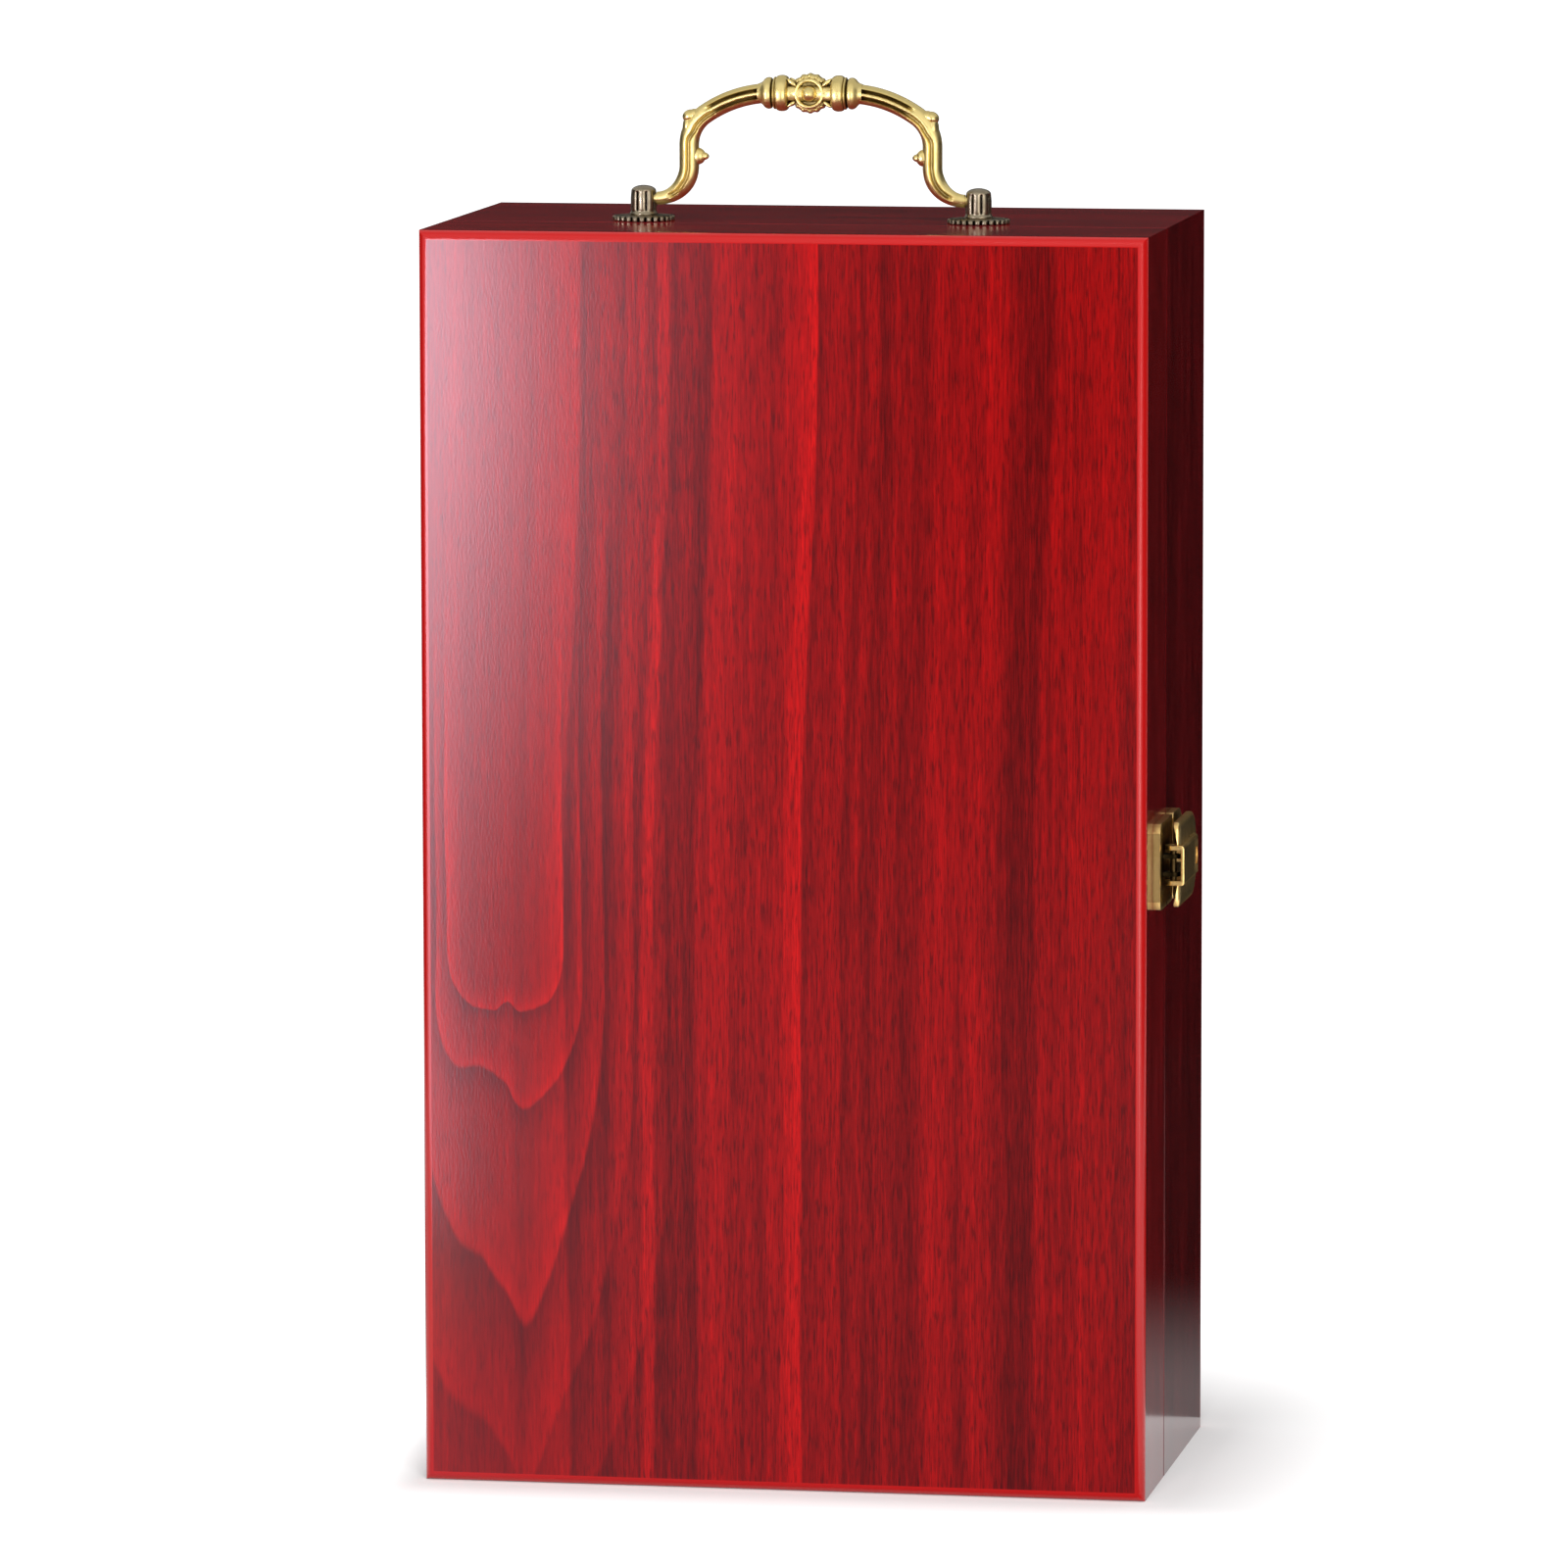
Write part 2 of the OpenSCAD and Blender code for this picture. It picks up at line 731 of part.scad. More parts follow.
module latch_case_screws() {
    color(old_brass) at_latch() for (u = case_screw_us, v = [-latch_screw_v, latch_screw_v])
        translate([u, v, latch_plate_t]) screw();
}

// A scalloped rose under a post: way is -1 for the left post and 1 for the right one
module handle_rose(way) {
    color(old_bronze) translate([way * handle_span / 2, handle_y, box_h]) difference() {
        rotate_extrude() polygon([
            [stud_r + seat_gap, 0], [rose_r, 0], [rose_r, rose_edge_t],
            [rose_rim_r, rose_t], [stud_r + seat_gap, rose_t]
        ]);
        for (i = [0:rose_scallops - 1]) rotate([0, 0, 360 * i / rose_scallops])
            translate([rose_r + scallop_r / 2, 0, -over]) cylinder(h = rose_t + 2 * over, r = scallop_r);
    }
}

// A fluted post with its stud, and a blind hole for the handle's pivot pin
module handle_post(way) {
    foot = rose_t;
    rim = foot + post_rim_t;
    cap = post_h - post_cap_t;
    stud_low = stud_short - wall_t;
    color(old_bronze) translate([way * handle_span / 2, handle_y, box_h]) difference() {
        union() {
            rotate_extrude() polygon(concat(
                [[0, foot], [post_foot_r, foot], [post_foot_r, rim], [post_r, rim + post_cove_t],
                    [post_r, pivot_h], [post_top_r, cap]],
                [for (i = [1:post_cap_steps])
                    let (a = 90 * i / post_cap_steps)
                    [post_top_r * cos(a), cap + post_cap_t * sin(a)]]
            ));
            translate([0, 0, stud_low]) cylinder(h = foot - stud_low + eps, r = stud_r);
        }
        for (i = [0:post_flutes - 1]) rotate([0, 0, 360 * (i + 0.5) / post_flutes])
            translate([post_r + flute_r / 2, 0, foot + flute_up]) cylinder(h = post_h, r = flute_r);
        translate([0, 0, pivot_h]) rotate([0, -90 * way, 0])
            translate([0, 0, -over]) cylinder(h = post_foot_r + 2 * over, r = pivot_pin_r + run_gap);
    }
}

module handle_rose_left() {
    handle_rose(-1);
}

module handle_rose_right() {
    handle_rose(1);
}

module handle_post_left() {
    handle_post(-1);
}

module handle_post_right() {
    handle_post(1);
}

module handle_nuts() {
    color(steel_grey) for (x = [-handle_span / 2, handle_span / 2])
        translate([x, handle_y, box_h - wall_t + nut_pocket_t - nut_t]) difference() {
            cylinder(h = nut_t, r = nut_r, $fn = 6);
            translate([0, 0, -over]) cylinder(h = nut_t + 2 * over, r = stud_r + seat_gap / 2);
        }
}

// The bail's arms and arch: one tube swept along the line
module bail_tube() {
    rings = [for (s = bail_line) bail_ring(s)];
    count = len(rings);
    n = bail_sides;
    polyhedron(
        points = [for (r = rings) for (p = r) p],
        faces = concat(
            [[for (k = [0:n - 1]) k]],
            [for (i = [0:count - 2]) for (k = [0:n - 1])
                [i * n + k, (i + 1) * n + k, (i + 1) * n + (k + 1) % n, i * n + (k + 1) % n]],
            [[for (k = [n - 1:-1:0]) (count - 1) * n + k]]
        )
    );
}

// A bead round the grip at x, w wide and r in radius
module bead(x, r, w) {
    translate([x, 0, grip_z]) rotate([0, 90, 0]) rotate_extrude() intersection() {
        translate([r - w / 2, 0]) circle(w / 2);
        translate([grip_core_r / 2, -w / 2]) square([r, w]);
    }
}

module handle_bail() {
    color(brass_gold) translate([0, handle_y, box_h]) union() {
        bail_tube();
        for (way = [-1, 1]) {
            translate([way * (handle_span / 2 + pivot_past), 0, pivot_h]) rotate([0, -90 * way, 0])
                cylinder(h = pivot_pin_len, r = pivot_pin_r);
            translate([way * shoulder_bud[0], 0, shoulder_bud[1]]) sphere(shoulder_bud_r);
            translate([way * arm_bud[0], 0, arm_bud[1]]) sphere(arm_bud_r);
            bead(way * (grip_half - small_bead_w / 2), small_bead_r, small_bead_w);
            bead(way * (grip_half - small_bead_w - large_bead_w / 2), large_bead_r, large_bead_w);
        }
        translate([-grip_half, 0, grip_z]) rotate([0, 90, 0]) cylinder(h = 2 * grip_half, r = grip_core_r);
        translate([0, rosette_t / 2, grip_z]) rotate([90, 0, 0]) cylinder(h = rosette_t, r = rosette_r);
        for (y = [-1, 1]) translate([0, y * rosette_t / 2, grip_z]) {
            rotate([90, 0, 0]) rotate_extrude() translate([rosette_ring_r, 0]) circle(rosette_ring_t);
            sphere(rosette_button_r);
        }
    }
}

lid_panel();
lid_rail_top();
lid_rail_bottom();
lid_rail_left();
lid_rail_right();
lid_liner();
hinge_lid_leaf_upper();
hinge_lid_leaf_lower();
hinge_lid_screws();
latch_lid_plate();
latch_pin();
latch_lid_screws();
latch_hasp();
back_panel();
case_board_top();
case_board_bottom();
case_board_left();
case_board_right();
liner_back();
liner_top();
liner_bottom();
liner_left();
liner_right();
bottle_divider();
neck_rest_left();
neck_rest_right();
heel_rest_left();
heel_rest_right();
hinge_case_leaf_upper();
hinge_case_leaf_lower();
hinge_pin_upper();
hinge_pin_lower();
hinge_case_screws();
latch_case_plate();
latch_case_screws();
handle_rose_left();
handle_rose_right();
handle_post_left();
handle_post_right();
handle_nuts();
handle_bail();
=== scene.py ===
"""Looks of a standing wine box for two bottles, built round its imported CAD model.

Lengths are written in millimetres and become metres where a mesh is made. Every piece keeps the
place that it has in the CAD frame: +X is the latch side, -Y the lid, +Z up.
"""
import json
import logging
import math
from dataclasses import dataclass
from enum import Enum

import bmesh
import bpy
import numpy as np
from mathutils import Euler, Matrix, Vector
from mathutils.bvhtree import BVHTree

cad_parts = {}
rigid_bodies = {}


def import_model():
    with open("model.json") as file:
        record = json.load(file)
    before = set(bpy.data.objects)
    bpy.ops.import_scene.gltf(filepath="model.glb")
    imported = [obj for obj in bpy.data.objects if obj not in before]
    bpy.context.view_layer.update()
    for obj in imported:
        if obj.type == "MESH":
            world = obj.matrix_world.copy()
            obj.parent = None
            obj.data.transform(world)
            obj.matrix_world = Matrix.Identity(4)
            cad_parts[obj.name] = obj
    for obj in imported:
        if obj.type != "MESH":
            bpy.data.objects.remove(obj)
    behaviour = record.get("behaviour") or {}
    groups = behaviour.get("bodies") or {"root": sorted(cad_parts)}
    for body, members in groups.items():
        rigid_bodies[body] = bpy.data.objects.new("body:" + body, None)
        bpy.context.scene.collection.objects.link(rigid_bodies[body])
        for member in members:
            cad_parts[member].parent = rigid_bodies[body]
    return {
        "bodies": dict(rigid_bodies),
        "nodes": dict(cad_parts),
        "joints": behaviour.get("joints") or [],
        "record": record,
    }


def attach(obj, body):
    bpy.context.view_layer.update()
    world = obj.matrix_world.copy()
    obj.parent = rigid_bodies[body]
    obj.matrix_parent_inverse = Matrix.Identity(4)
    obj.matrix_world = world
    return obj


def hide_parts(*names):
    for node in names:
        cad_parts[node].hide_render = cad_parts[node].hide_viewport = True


MM = 0.001
MATH = "ShaderNodeMath"
LOG = logging.getLogger("wine_box")

Object = bpy.types.Object
Material = bpy.types.Material
Node = bpy.types.Node
NodeTree = bpy.types.NodeTree
Points = np.ndarray
Faces = list[list[int]]
Stop = tuple[float, tuple | float]
Place = tuple[float, float, float]


def linear(code: str) -> tuple[float, float, float, float]:
    """Turns an sRGB colour into Blender's linear one.

    Args:
        code: six hex digits.

    Returns:
        Linear red, green, blue and an alpha of 1.
    """
    parts = [int(code[i:i + 2], 16) / 255 for i in (0, 2, 4)]
    red, green, blue = (c / 12.92 if c <= 0.04045 else ((c + 0.055) / 1.055) ** 2.4 for c in parts)
    return red, green, blue, 1.0


def put(tree: NodeTree, kind: str, inputs: dict | None = None, stops: list[Stop] | None = None,
        **settings: object) -> Node:
    """Adds one node with its settings and links.

    Args:
        tree: the node tree that gets the node.
        kind: Blender's name of the node type.
        inputs: for a socket's index or name, a value, a socket, or a node whose first output is used.
        stops: for a colour ramp, each stop's place from 0 to 1, and its colour or grey.
        settings: the node's own properties.

    Returns:
        The new node.
    """
    node = tree.nodes.new(kind)
    for key, value in settings.items():
        setattr(node, key, value)
    for key, value in (inputs or {}).items():
        if isinstance(value, bpy.types.Node):
            value = value.outputs[0]
        if isinstance(value, bpy.types.NodeSocket):
            tree.links.new(value, node.inputs[key])
        else:
            node.inputs[key].default_value = value
    if stops:
        held = node.color_ramp.elements
        while len(held) < len(stops):
            held.new(1.0)
        for element, (place, tone) in zip(held, stops):
            element.position = place
            element.color = tone if isinstance(tone, tuple) else (tone, tone, tone, 1.0)
    return node


def start_material(name: str, kind: str = "ShaderNodeBsdfPrincipled",
                   **sockets: object) -> tuple[Material, NodeTree, Node]:
    """Starts a material with one shader.

    Args:
        name: the material's name.
        kind: Blender's name of the shader's node type.
        sockets: uniform values, by the shader socket's name with _ for a space.

    Returns:
        The material, its node tree and the shader node.
    """
    material = bpy.data.materials.new(name)
    material.use_nodes = True
    tree = material.node_tree
    tree.nodes.clear()
    values = {key.replace("_", " "): value for key, value in sockets.items()}
    shader = put(tree, kind, values)
    put(tree, "ShaderNodeOutputMaterial", {"Surface": shader})
    return material, tree, shader


class GrainWay(Enum):
    """Which way a board's grain runs."""

    ACROSS = (8.0, 1.0)
    UPRIGHT = (1.0, 8.0)


@dataclass(frozen=True)
class GrowthRing:
    """One late wood line of the tongue in the veneer: bright just inside it and dark just outside.

    Its sides run upright at half its width from its middle, and below bend they close in a curve that
    is drop long, round for a bluntness of 2 and square above. Lengths are in millimetres.
    """

    middle: float
    half: float
    bend: float
    drop: float
    bluntness: float
    strength: float


TONGUE = (
    GrowthRing(-79.3, 16.9, 160, 25, 2.9, 0.9),
    GrowthRing(-78.2, 21.0, 150, 39, 2.7, 0.85),
    GrowthRing(-78.6, 28.0, 145, 91, 1.9, 0.8),
    GrowthRing(-79.5, 37.5, 120, 112, 1.7, 0.42),
    GrowthRing(-80.0, 47.0, 90, 120, 1.6, 0.36),
)
# The straight streaks: millimetres to the right of the middle, and tone from 0 dark to 1 bright
LEFT_BANDS = (
    (-103, 0.50), (-92, 0.58), (-86, 0.50), (-72, 0.54), (-70, 0.44), (-68, 0.56), (-62, 0.62),
    (-57, 0.74), (-55.6, 0.30), (-52, 0.40), (-48, 0.56), (-46.5, 0.34), (-44.5, 0.30), (-43, 0.50),
    (-38, 0.60), (-36.6, 0.40), (-35.4, 0.46), (-34, 0.80), (-32, 0.76), (-31, 0.32), (-26, 0.42),
    (-20, 0.26), (-18.6, 0.64), (-14, 0.72), (-8, 0.56), (-2, 0.52), (4, 0.60),
)
RIGHT_BANDS = (
    (0, 0.54), (5, 0.60), (6.6, 0.84), (10.4, 0.92), (11, 0.34), (14, 0.52), (21.6, 0.58),
    (22.6, 0.30), (25.4, 0.56), (28.2, 0.30), (31, 0.32), (33, 0.56), (39, 0.28), (42, 0.34),
    (46.6, 0.64), (53, 0.58), (55, 0.40), (60, 0.64), (64, 0.54), (68, 0.34), (70, 0.20),
    (76, 0.24), (77.6, 0.54), (84, 0.46), (90, 0.60), (99, 0.48), (103, 0.38),
)


@dataclass(frozen=True)
class PanelVeneer:
    """Rosewood veneer under red tinted satin lacquer, on a panel with sprayed red edges.

    To the eye: a tall tongue of growth rings on the hinge side, straight streaks with dark pores
    beside it, all deep red, with a soft sheen and a smooth clear red round the edge. way is -1 where
    the figure is mirrored, and shift moves its noise, so that two panels aren't alike.
    """

    name: str
    width: float
    height: float
    edge: float
    face_y: float
    way: float
    shift: float

    def waves(self, tree: NodeTree, place: Node, wide: float, long: float, reach: float) -> Node:
        """Adds a noise that is drawn out along the grain and swings evenly about nothing.

        Args:
            tree: the material's tree.
            place: the place in millimetres.
            wide: its grain across, in millimetres.
            long: its grain upwards, in millimetres.
            reach: how far it swings up and down in all.

        Returns:
            The node with the value.
        """
        drawn = put(tree, "ShaderNodeMapping", {
            "Vector": place, "Location": (self.shift, 0, self.shift),
            "Scale": (1 / wide, 1 / wide, 1 / long)})
        noise = put(tree, "ShaderNodeTexNoise", {"Vector": drawn, "Scale": 1.0, "Detail": 3.0})
        return put(tree, MATH, {0: noise, 1: reach, 2: -reach / 2}, operation="MULTIPLY_ADD")

    def tongue(self, tree: NodeTree, x: Node, z: Node) -> Node:
        """Draws the growth rings of the tongue.

        Args:
            tree: the material's tree.
            x: the place across, in millimetres.
            z: the place upwards, in millimetres.

        Returns:
            The node with the tone that the rings add.
        """
        # The lower rings have a shoulder on the left and a sharp tip beside it. Each hump has its
        # middle, its width, how far it lifts the rings, and the heights between which it sets in
        humps = (
            (-79.0, 2.4, -3.0, 152, 140), (-86.0, 6.0, -7.0, 136, 120), (-72.5, 6.5, 11.0, 138, 45))
        for middle, wide, tall, top, bottom in humps:
            off = put(tree, MATH, {0: x, 1: -middle}, operation="ADD")
            off = put(tree, MATH, {0: off, 1: 1 / wide}, operation="MULTIPLY")
            off = put(tree, MATH, {0: off, 1: off}, operation="MULTIPLY")
            hump = put(tree, MATH, {0: math.exp(-1), 1: off}, operation="POWER")
            share = put(tree, "ShaderNodeMapRange", {0: z, 1: top, 2: bottom, 3: 0, 4: tall})
            hump = put(tree, MATH, {0: hump, 1: share}, operation="MULTIPLY")
            z = put(tree, MATH, {0: z, 1: hump}, operation="ADD")
        total = None
        for ring in TONGUE:
            across = put(tree, MATH, {0: x, 1: ring.middle}, operation="SUBTRACT")
            across = put(tree, MATH, {0: across}, operation="ABSOLUTE")
            across = put(tree, MATH, {0: across, 1: ring.half}, operation="DIVIDE")
            below = put(tree, MATH, {0: ring.bend, 1: z}, operation="SUBTRACT")
            below = put(tree, MATH, {0: below, 1: ring.drop}, operation="DIVIDE")
            below = put(tree, MATH, {0: below, 1: 0.0}, operation="MAXIMUM")
            across = put(tree, MATH, {0: across, 1: ring.bluntness}, operation="POWER")
            below = put(tree, MATH, {0: below, 1: ring.bluntness}, operation="POWER")
            size = put(tree, MATH, {0: across, 1: below}, operation="ADD")
            size = put(tree, MATH, {0: size, 1: 1 / ring.bluntness}, operation="POWER")
            # The ring's line lies at 0.5 on the ramp
            size = put(tree, MATH, {0: size, 1: 0.5}, operation="MULTIPLY")
            line = put(tree, "ShaderNodeValToRGB", {0: size}, [
                (0.0, 0.5), (0.36, 0.5), (0.45, 0.62), (0.487, 0.78), (0.495, 0.74), (0.506, 0.22),
                (0.53, 0.30), (0.58, 0.42), (0.66, 0.5), (1.0, 0.5)])
            tone = put(tree, MATH, {
                0: line, 1: ring.strength, 2: -ring.strength / 2}, operation="MULTIPLY_ADD")
            total = tone if total is None else put(tree, MATH, {0: total, 1: tone}, operation="ADD")
        # Higher up only the straight lines of the bands are left
        low = put(tree, "ShaderNodeMapRange", {0: z, 1: 270, 2: 190})
        return put(tree, MATH, {0: total, 1: low}, operation="MULTIPLY")

    def figure(self, tree: NodeTree, mapped: Node, calm: Node) -> Node:
        """Draws the whole figure of the veneer.

        Args:
            tree: the material's tree.
            mapped: the place in millimetres.
            calm: how strong the fine streaks are.

        Returns:
            The node with the tone, from 0 dark to 1 bright.
        """
        axes = put(tree, "ShaderNodeSeparateXYZ", {0: mapped})
        z = axes.outputs[2]
        # The lines lean: 5 mm to the left on their way down, with slow bends and short waves
        lean = put(tree, "ShaderNodeMapRange", {0: z, 1: 320, 2: 160, 3: 0, 4: 5},
                   interpolation_type="SMOOTHSTEP")
        x = put(tree, MATH, {0: axes.outputs[0], 1: lean}, operation="ADD")
        for wide, long, reach in ((40, 150, 4.0), (10, 45, 1.5)):
            x = put(tree, MATH, {0: x, 1: self.waves(tree, mapped, wide, long, reach)}, operation="ADD")
        tones = []
        for bands in (LEFT_BANDS, RIGHT_BANDS):
            first, last = bands[0][0], bands[-1][0]
            along = put(tree, "ShaderNodeMapRange", {0: x, 1: first, 2: last})
            stops = [((at - first) / (last - first), 0.5 + 0.78 * (grey - 0.5)) for at, grey in bands]
            tones.append(put(tree, "ShaderNodeValToRGB", {0: along}, stops))
        right = put(tree, "ShaderNodeMapRange", {0: x, 1: 0, 2: 4})
        value = put(tree, "ShaderNodeMix", {0: right, 2: tones[0], 3: tones[1]}, data_type="FLOAT")
        ripple = self.waves(tree, mapped, 9, 22, 5.0)
        ring_z = put(tree, MATH, {0: z, 1: ripple}, operation="ADD")
        bend = self.waves(tree, mapped, 30, 60, 3.0)
        ring_x = put(tree, MATH, {0: axes.outputs[0], 1: bend}, operation="ADD")
        value = put(tree, MATH, {0: value, 1: self.tongue(tree, ring_x, ring_z)}, operation="ADD")
        # Fine streaks: width and length in millimetres, and how much they show
        for wide, long, strength in ((0.6, 10, 0.85), (1.5, 50, 0.6), (3.5, 230, 0.36), (30, 90, 0.2)):
            streak = self.waves(tree, mapped, wide, long, strength)
            value = put(tree, MATH, {0: streak, 1: calm, 2: value}, operation="MULTIPLY_ADD")
        return value

    def build(self) -> Material:
        """Makes the material.

        Returns:
            The finished material.
        """
        material, tree, shader = start_material(self.name, Roughness=0.17, IOR=1.45)
        place = put(tree, "ShaderNodeTexCoord").outputs["Object"]
        mapped = put(tree, "ShaderNodeMapping", {"Vector": place, "Scale": (1000 * self.way, 1000, 1000)})
        # Streaks and pores are fainter in the tongue
        across = put(tree, "ShaderNodeSeparateXYZ", {0: mapped})
        calm = put(tree, "ShaderNodeMapRange", {0: across, 1: -70, 2: -40, 3: 0.5, 4: 1.0})
        value = self.figure(tree, mapped, calm)
        reds = ("4e0406", "6e0507", "920608", "b60708", "d80c0b")
        stops = [(i / 4, linear(red)) for i, red in enumerate(reds)]
        stain = put(tree, "ShaderNodeValToRGB", {0: value}, stops)
        # Open pores: dark dashes 0.55 mm wide and 6 mm long, close together
        pores = self.waves(tree, mapped, 0.55, 6.0, 1.0)
        deepest = put(tree, MATH, {0: calm, 1: 0.6}, operation="MULTIPLY")
        pore = put(tree, "ShaderNodeMapRange", {0: pores, 1: 0.02, 2: 0.16, 3: 0.0, 4: deepest})
        stained = put(tree, "ShaderNodeMix", {0: pore, 6: stain, 7: linear("460507")}, data_type="RGBA")
        # The veneer stops where the edge starts to turn, and behind the turn is the side's dark veneer
        raw = put(tree, "ShaderNodeSeparateXYZ", {0: place})
        half_w, mid_z = self.width / 2, self.height / 2
        off_x = put(tree, MATH, {0: raw.outputs[0]}, operation="ABSOLUTE")
        off_x = put(tree, MATH, {0: off_x, 1: (half_w - self.edge) * MM}, operation="SUBTRACT")
        off_z = put(tree, MATH, {0: raw.outputs[2], 1: mid_z * MM}, operation="SUBTRACT")
        off_z = put(tree, MATH, {0: off_z}, operation="ABSOLUTE")
        off_z = put(tree, MATH, {0: off_z, 1: (mid_z - self.edge) * MM}, operation="SUBTRACT")
        off = put(tree, MATH, {0: off_x, 1: off_z}, operation="MAXIMUM")
        on_edge = put(tree, "ShaderNodeMapRange", {0: off, 1: -0.00005, 2: 0.00015})
        colour = put(tree, "ShaderNodeMix", {
            0: on_edge.outputs[0], 6: stained.outputs[2], 7: linear("c8100f")}, data_type="RGBA")
        depth = put(tree, MATH, {0: raw.outputs[1], 1: self.face_y * MM}, operation="SUBTRACT")
        depth = put(tree, MATH, {0: depth}, operation="ABSOLUTE")
        behind = put(tree, "ShaderNodeMapRange", {
            0: depth, 1: (self.edge + 0.1) * MM, 2: (self.edge + 0.4) * MM})
        colour = put(tree, "ShaderNodeMix", {
            0: behind.outputs[0], 6: colour.outputs[2], 7: linear("6b1116")}, data_type="RGBA")
        tree.links.new(colour.outputs[2], shader.inputs["Base Color"])
        # Lacquer over open pores keeps a fine texture of about 1 mm, 0.02 mm deep
        peel = self.waves(tree, mapped, 0.6, 1.6, 1.0)
        clear = put(tree, MATH, {0: 1.0, 1: on_edge}, operation="SUBTRACT")
        relief = put(tree, MATH, {0: peel, 1: clear}, operation="MULTIPLY")
        bump = put(tree, "ShaderNodeBump", {"Height": relief, "Strength": 0.22, "Distance": 0.0001})
        tree.links.new(bump.outputs[0], shader.inputs["Normal"])
        return material


@dataclass(frozen=True)
class SideVeneer:
    """Dark rosewood veneer under polished lacquer: nearly black red streaks along the board. On the upright
    boards the dark is partly painted shade.
    """

    name: str
    way: GrainWay
    tones: tuple[str, str, str]

    def build(self) -> Material:
        """Makes the material.

        Returns:
            The finished material.
        """
        material, tree, shader = start_material(self.name, Roughness=0.14, IOR=1.45)
        place = put(tree, "ShaderNodeTexCoord").outputs["Object"]
        wide_x, long_z = self.way.value
        value = None
        # Streak width in millimetres, and how much it shows
        for wide, strength in ((1.6, 0.5), (6.0, 0.45), (20.0, 0.45)):
            scale = (1000 / (wide * wide_x), 1000 / wide, 1000 / (wide * long_z))
            streak = put(tree, "ShaderNodeMapping", {"Vector": place, "Scale": scale})
            noise = put(tree, "ShaderNodeTexNoise", {"Vector": streak, "Scale": 1.0, "Detail": 3.0})
            shift = put(tree, MATH, {0: noise, 1: 2 * strength, 2: -strength}, operation="MULTIPLY_ADD")
            value = shift if value is None else put(tree, MATH, {0: value, 1: shift}, operation="ADD")
        value = put(tree, MATH, {0: value, 1: 0.5}, operation="ADD")
        stops = [(i / 2, linear(tone)) for i, tone in enumerate(self.tones)]
        colour = put(tree, "ShaderNodeValToRGB", {0: value}, stops)
        tree.links.new(colour.outputs[0], shader.inputs["Base Color"])
        return material


@dataclass(frozen=True)
class Velvet:
    """Flocked rayon velvet glued over board: dull wine red, pale where its pile is seen on edge."""

    name: str = "velvet_wine_red"

    def build(self) -> Material:
        """Makes the material.

        Returns:
            The finished material.
        """
        material, tree, shader = start_material(
            self.name, Roughness=0.95, Sheen_Weight=0.55, Sheen_Roughness=0.4,
            Sheen_Tint=linear("d88a98"), Specular_IOR_Level=0.2)
        place = put(tree, "ShaderNodeTexCoord").outputs["Object"]
        # Pile lies in patches of about 25 mm, and its tufts are drawn 0.6 mm wide so that they show
        nap = put(tree, "ShaderNodeTexNoise", {"Vector": place, "Scale": 40.0, "Detail": 2.0})
        tuft = put(tree, "ShaderNodeTexNoise", {"Vector": place, "Scale": 1600.0, "Detail": 2.0})
        value = put(tree, MATH, {0: nap, 1: 0.6, 2: 0.0}, operation="MULTIPLY_ADD")
        value = put(tree, MATH, {0: tuft, 1: 0.4, 2: value}, operation="MULTIPLY_ADD")
        stops = [(0.3, linear("3a0a16")), (0.7, linear("6a1628"))]
        colour = put(tree, "ShaderNodeValToRGB", {0: value}, stops)
        tree.links.new(colour.outputs[0], shader.inputs["Base Color"])
        bump = put(tree, "ShaderNodeBump", {"Height": tuft, "Strength": 0.5, "Distance": 0.0002})
        tree.links.new(bump.outputs[0], shader.inputs["Normal"])
        return material


@dataclass(frozen=True)
class PlatedMetal:
    """Cast or stamped metal with a polished plating that is darkened in its hollows.

    To the eye: bright where fingers and the polishing wheel reach, brown to black in the grooves,
    with cloudy tarnish between. hollow is a mesh attribute from 0 on open metal to 1 in a groove; on
    the latch it also carries painted shade and painted dark reflections.
    """

    name: str
    bright: str
    tarnish: str
    hollow: str
    roughness: float
    cloud: float = 0.35
    marked: bool = True

    def build(self) -> Material:
        """Makes the material.

        Returns:
            The finished material.
        """
        material, tree, shader = start_material(self.name, Metallic=1.0)
        place = put(tree, "ShaderNodeTexCoord").outputs["Object"]
        # Tarnish clouds of about 3 mm, and polishing grain drawn 0.7 mm wide so that it shows
        cloud = put(tree, "ShaderNodeTexNoise", {"Vector": place, "Scale": 330.0, "Detail": 4.0})
        grain = put(tree, "ShaderNodeTexNoise", {"Vector": place, "Scale": 1500.0, "Detail": 2.0})
        amount = put(tree, "ShaderNodeMapRange", {0: cloud, 1: 0.4, 2: 0.7, 3: 0.0, 4: self.cloud})
        colour = put(tree, "ShaderNodeMix", {
            0: amount, 6: linear(self.bright), 7: linear(self.tarnish)}, data_type="RGBA")
        if self.marked:
            mark = put(tree, "ShaderNodeAttribute", attribute_name="hollow")
            deep = put(tree, "ShaderNodeMapRange", {0: mark.outputs["Fac"], 1: 0.15, 2: 0.48})
            colour = put(tree, "ShaderNodeMix", {
                0: deep, 6: colour.outputs[2], 7: linear(self.hollow)}, data_type="RGBA")
        tree.links.new(colour.outputs[2], shader.inputs["Base Color"])
        rough = put(tree, "ShaderNodeMapRange", {
            0: cloud, 1: 0.3, 2: 0.7, 3: self.roughness - 0.05, 4: self.roughness + 0.08})
        tree.links.new(rough.outputs[0], shader.inputs["Roughness"])
        bump = put(tree, "ShaderNodeBump", {"Height": grain, "Strength": 0.03, "Distance": 0.00005})
        tree.links.new(bump.outputs[0], shader.inputs["Normal"])
        return material


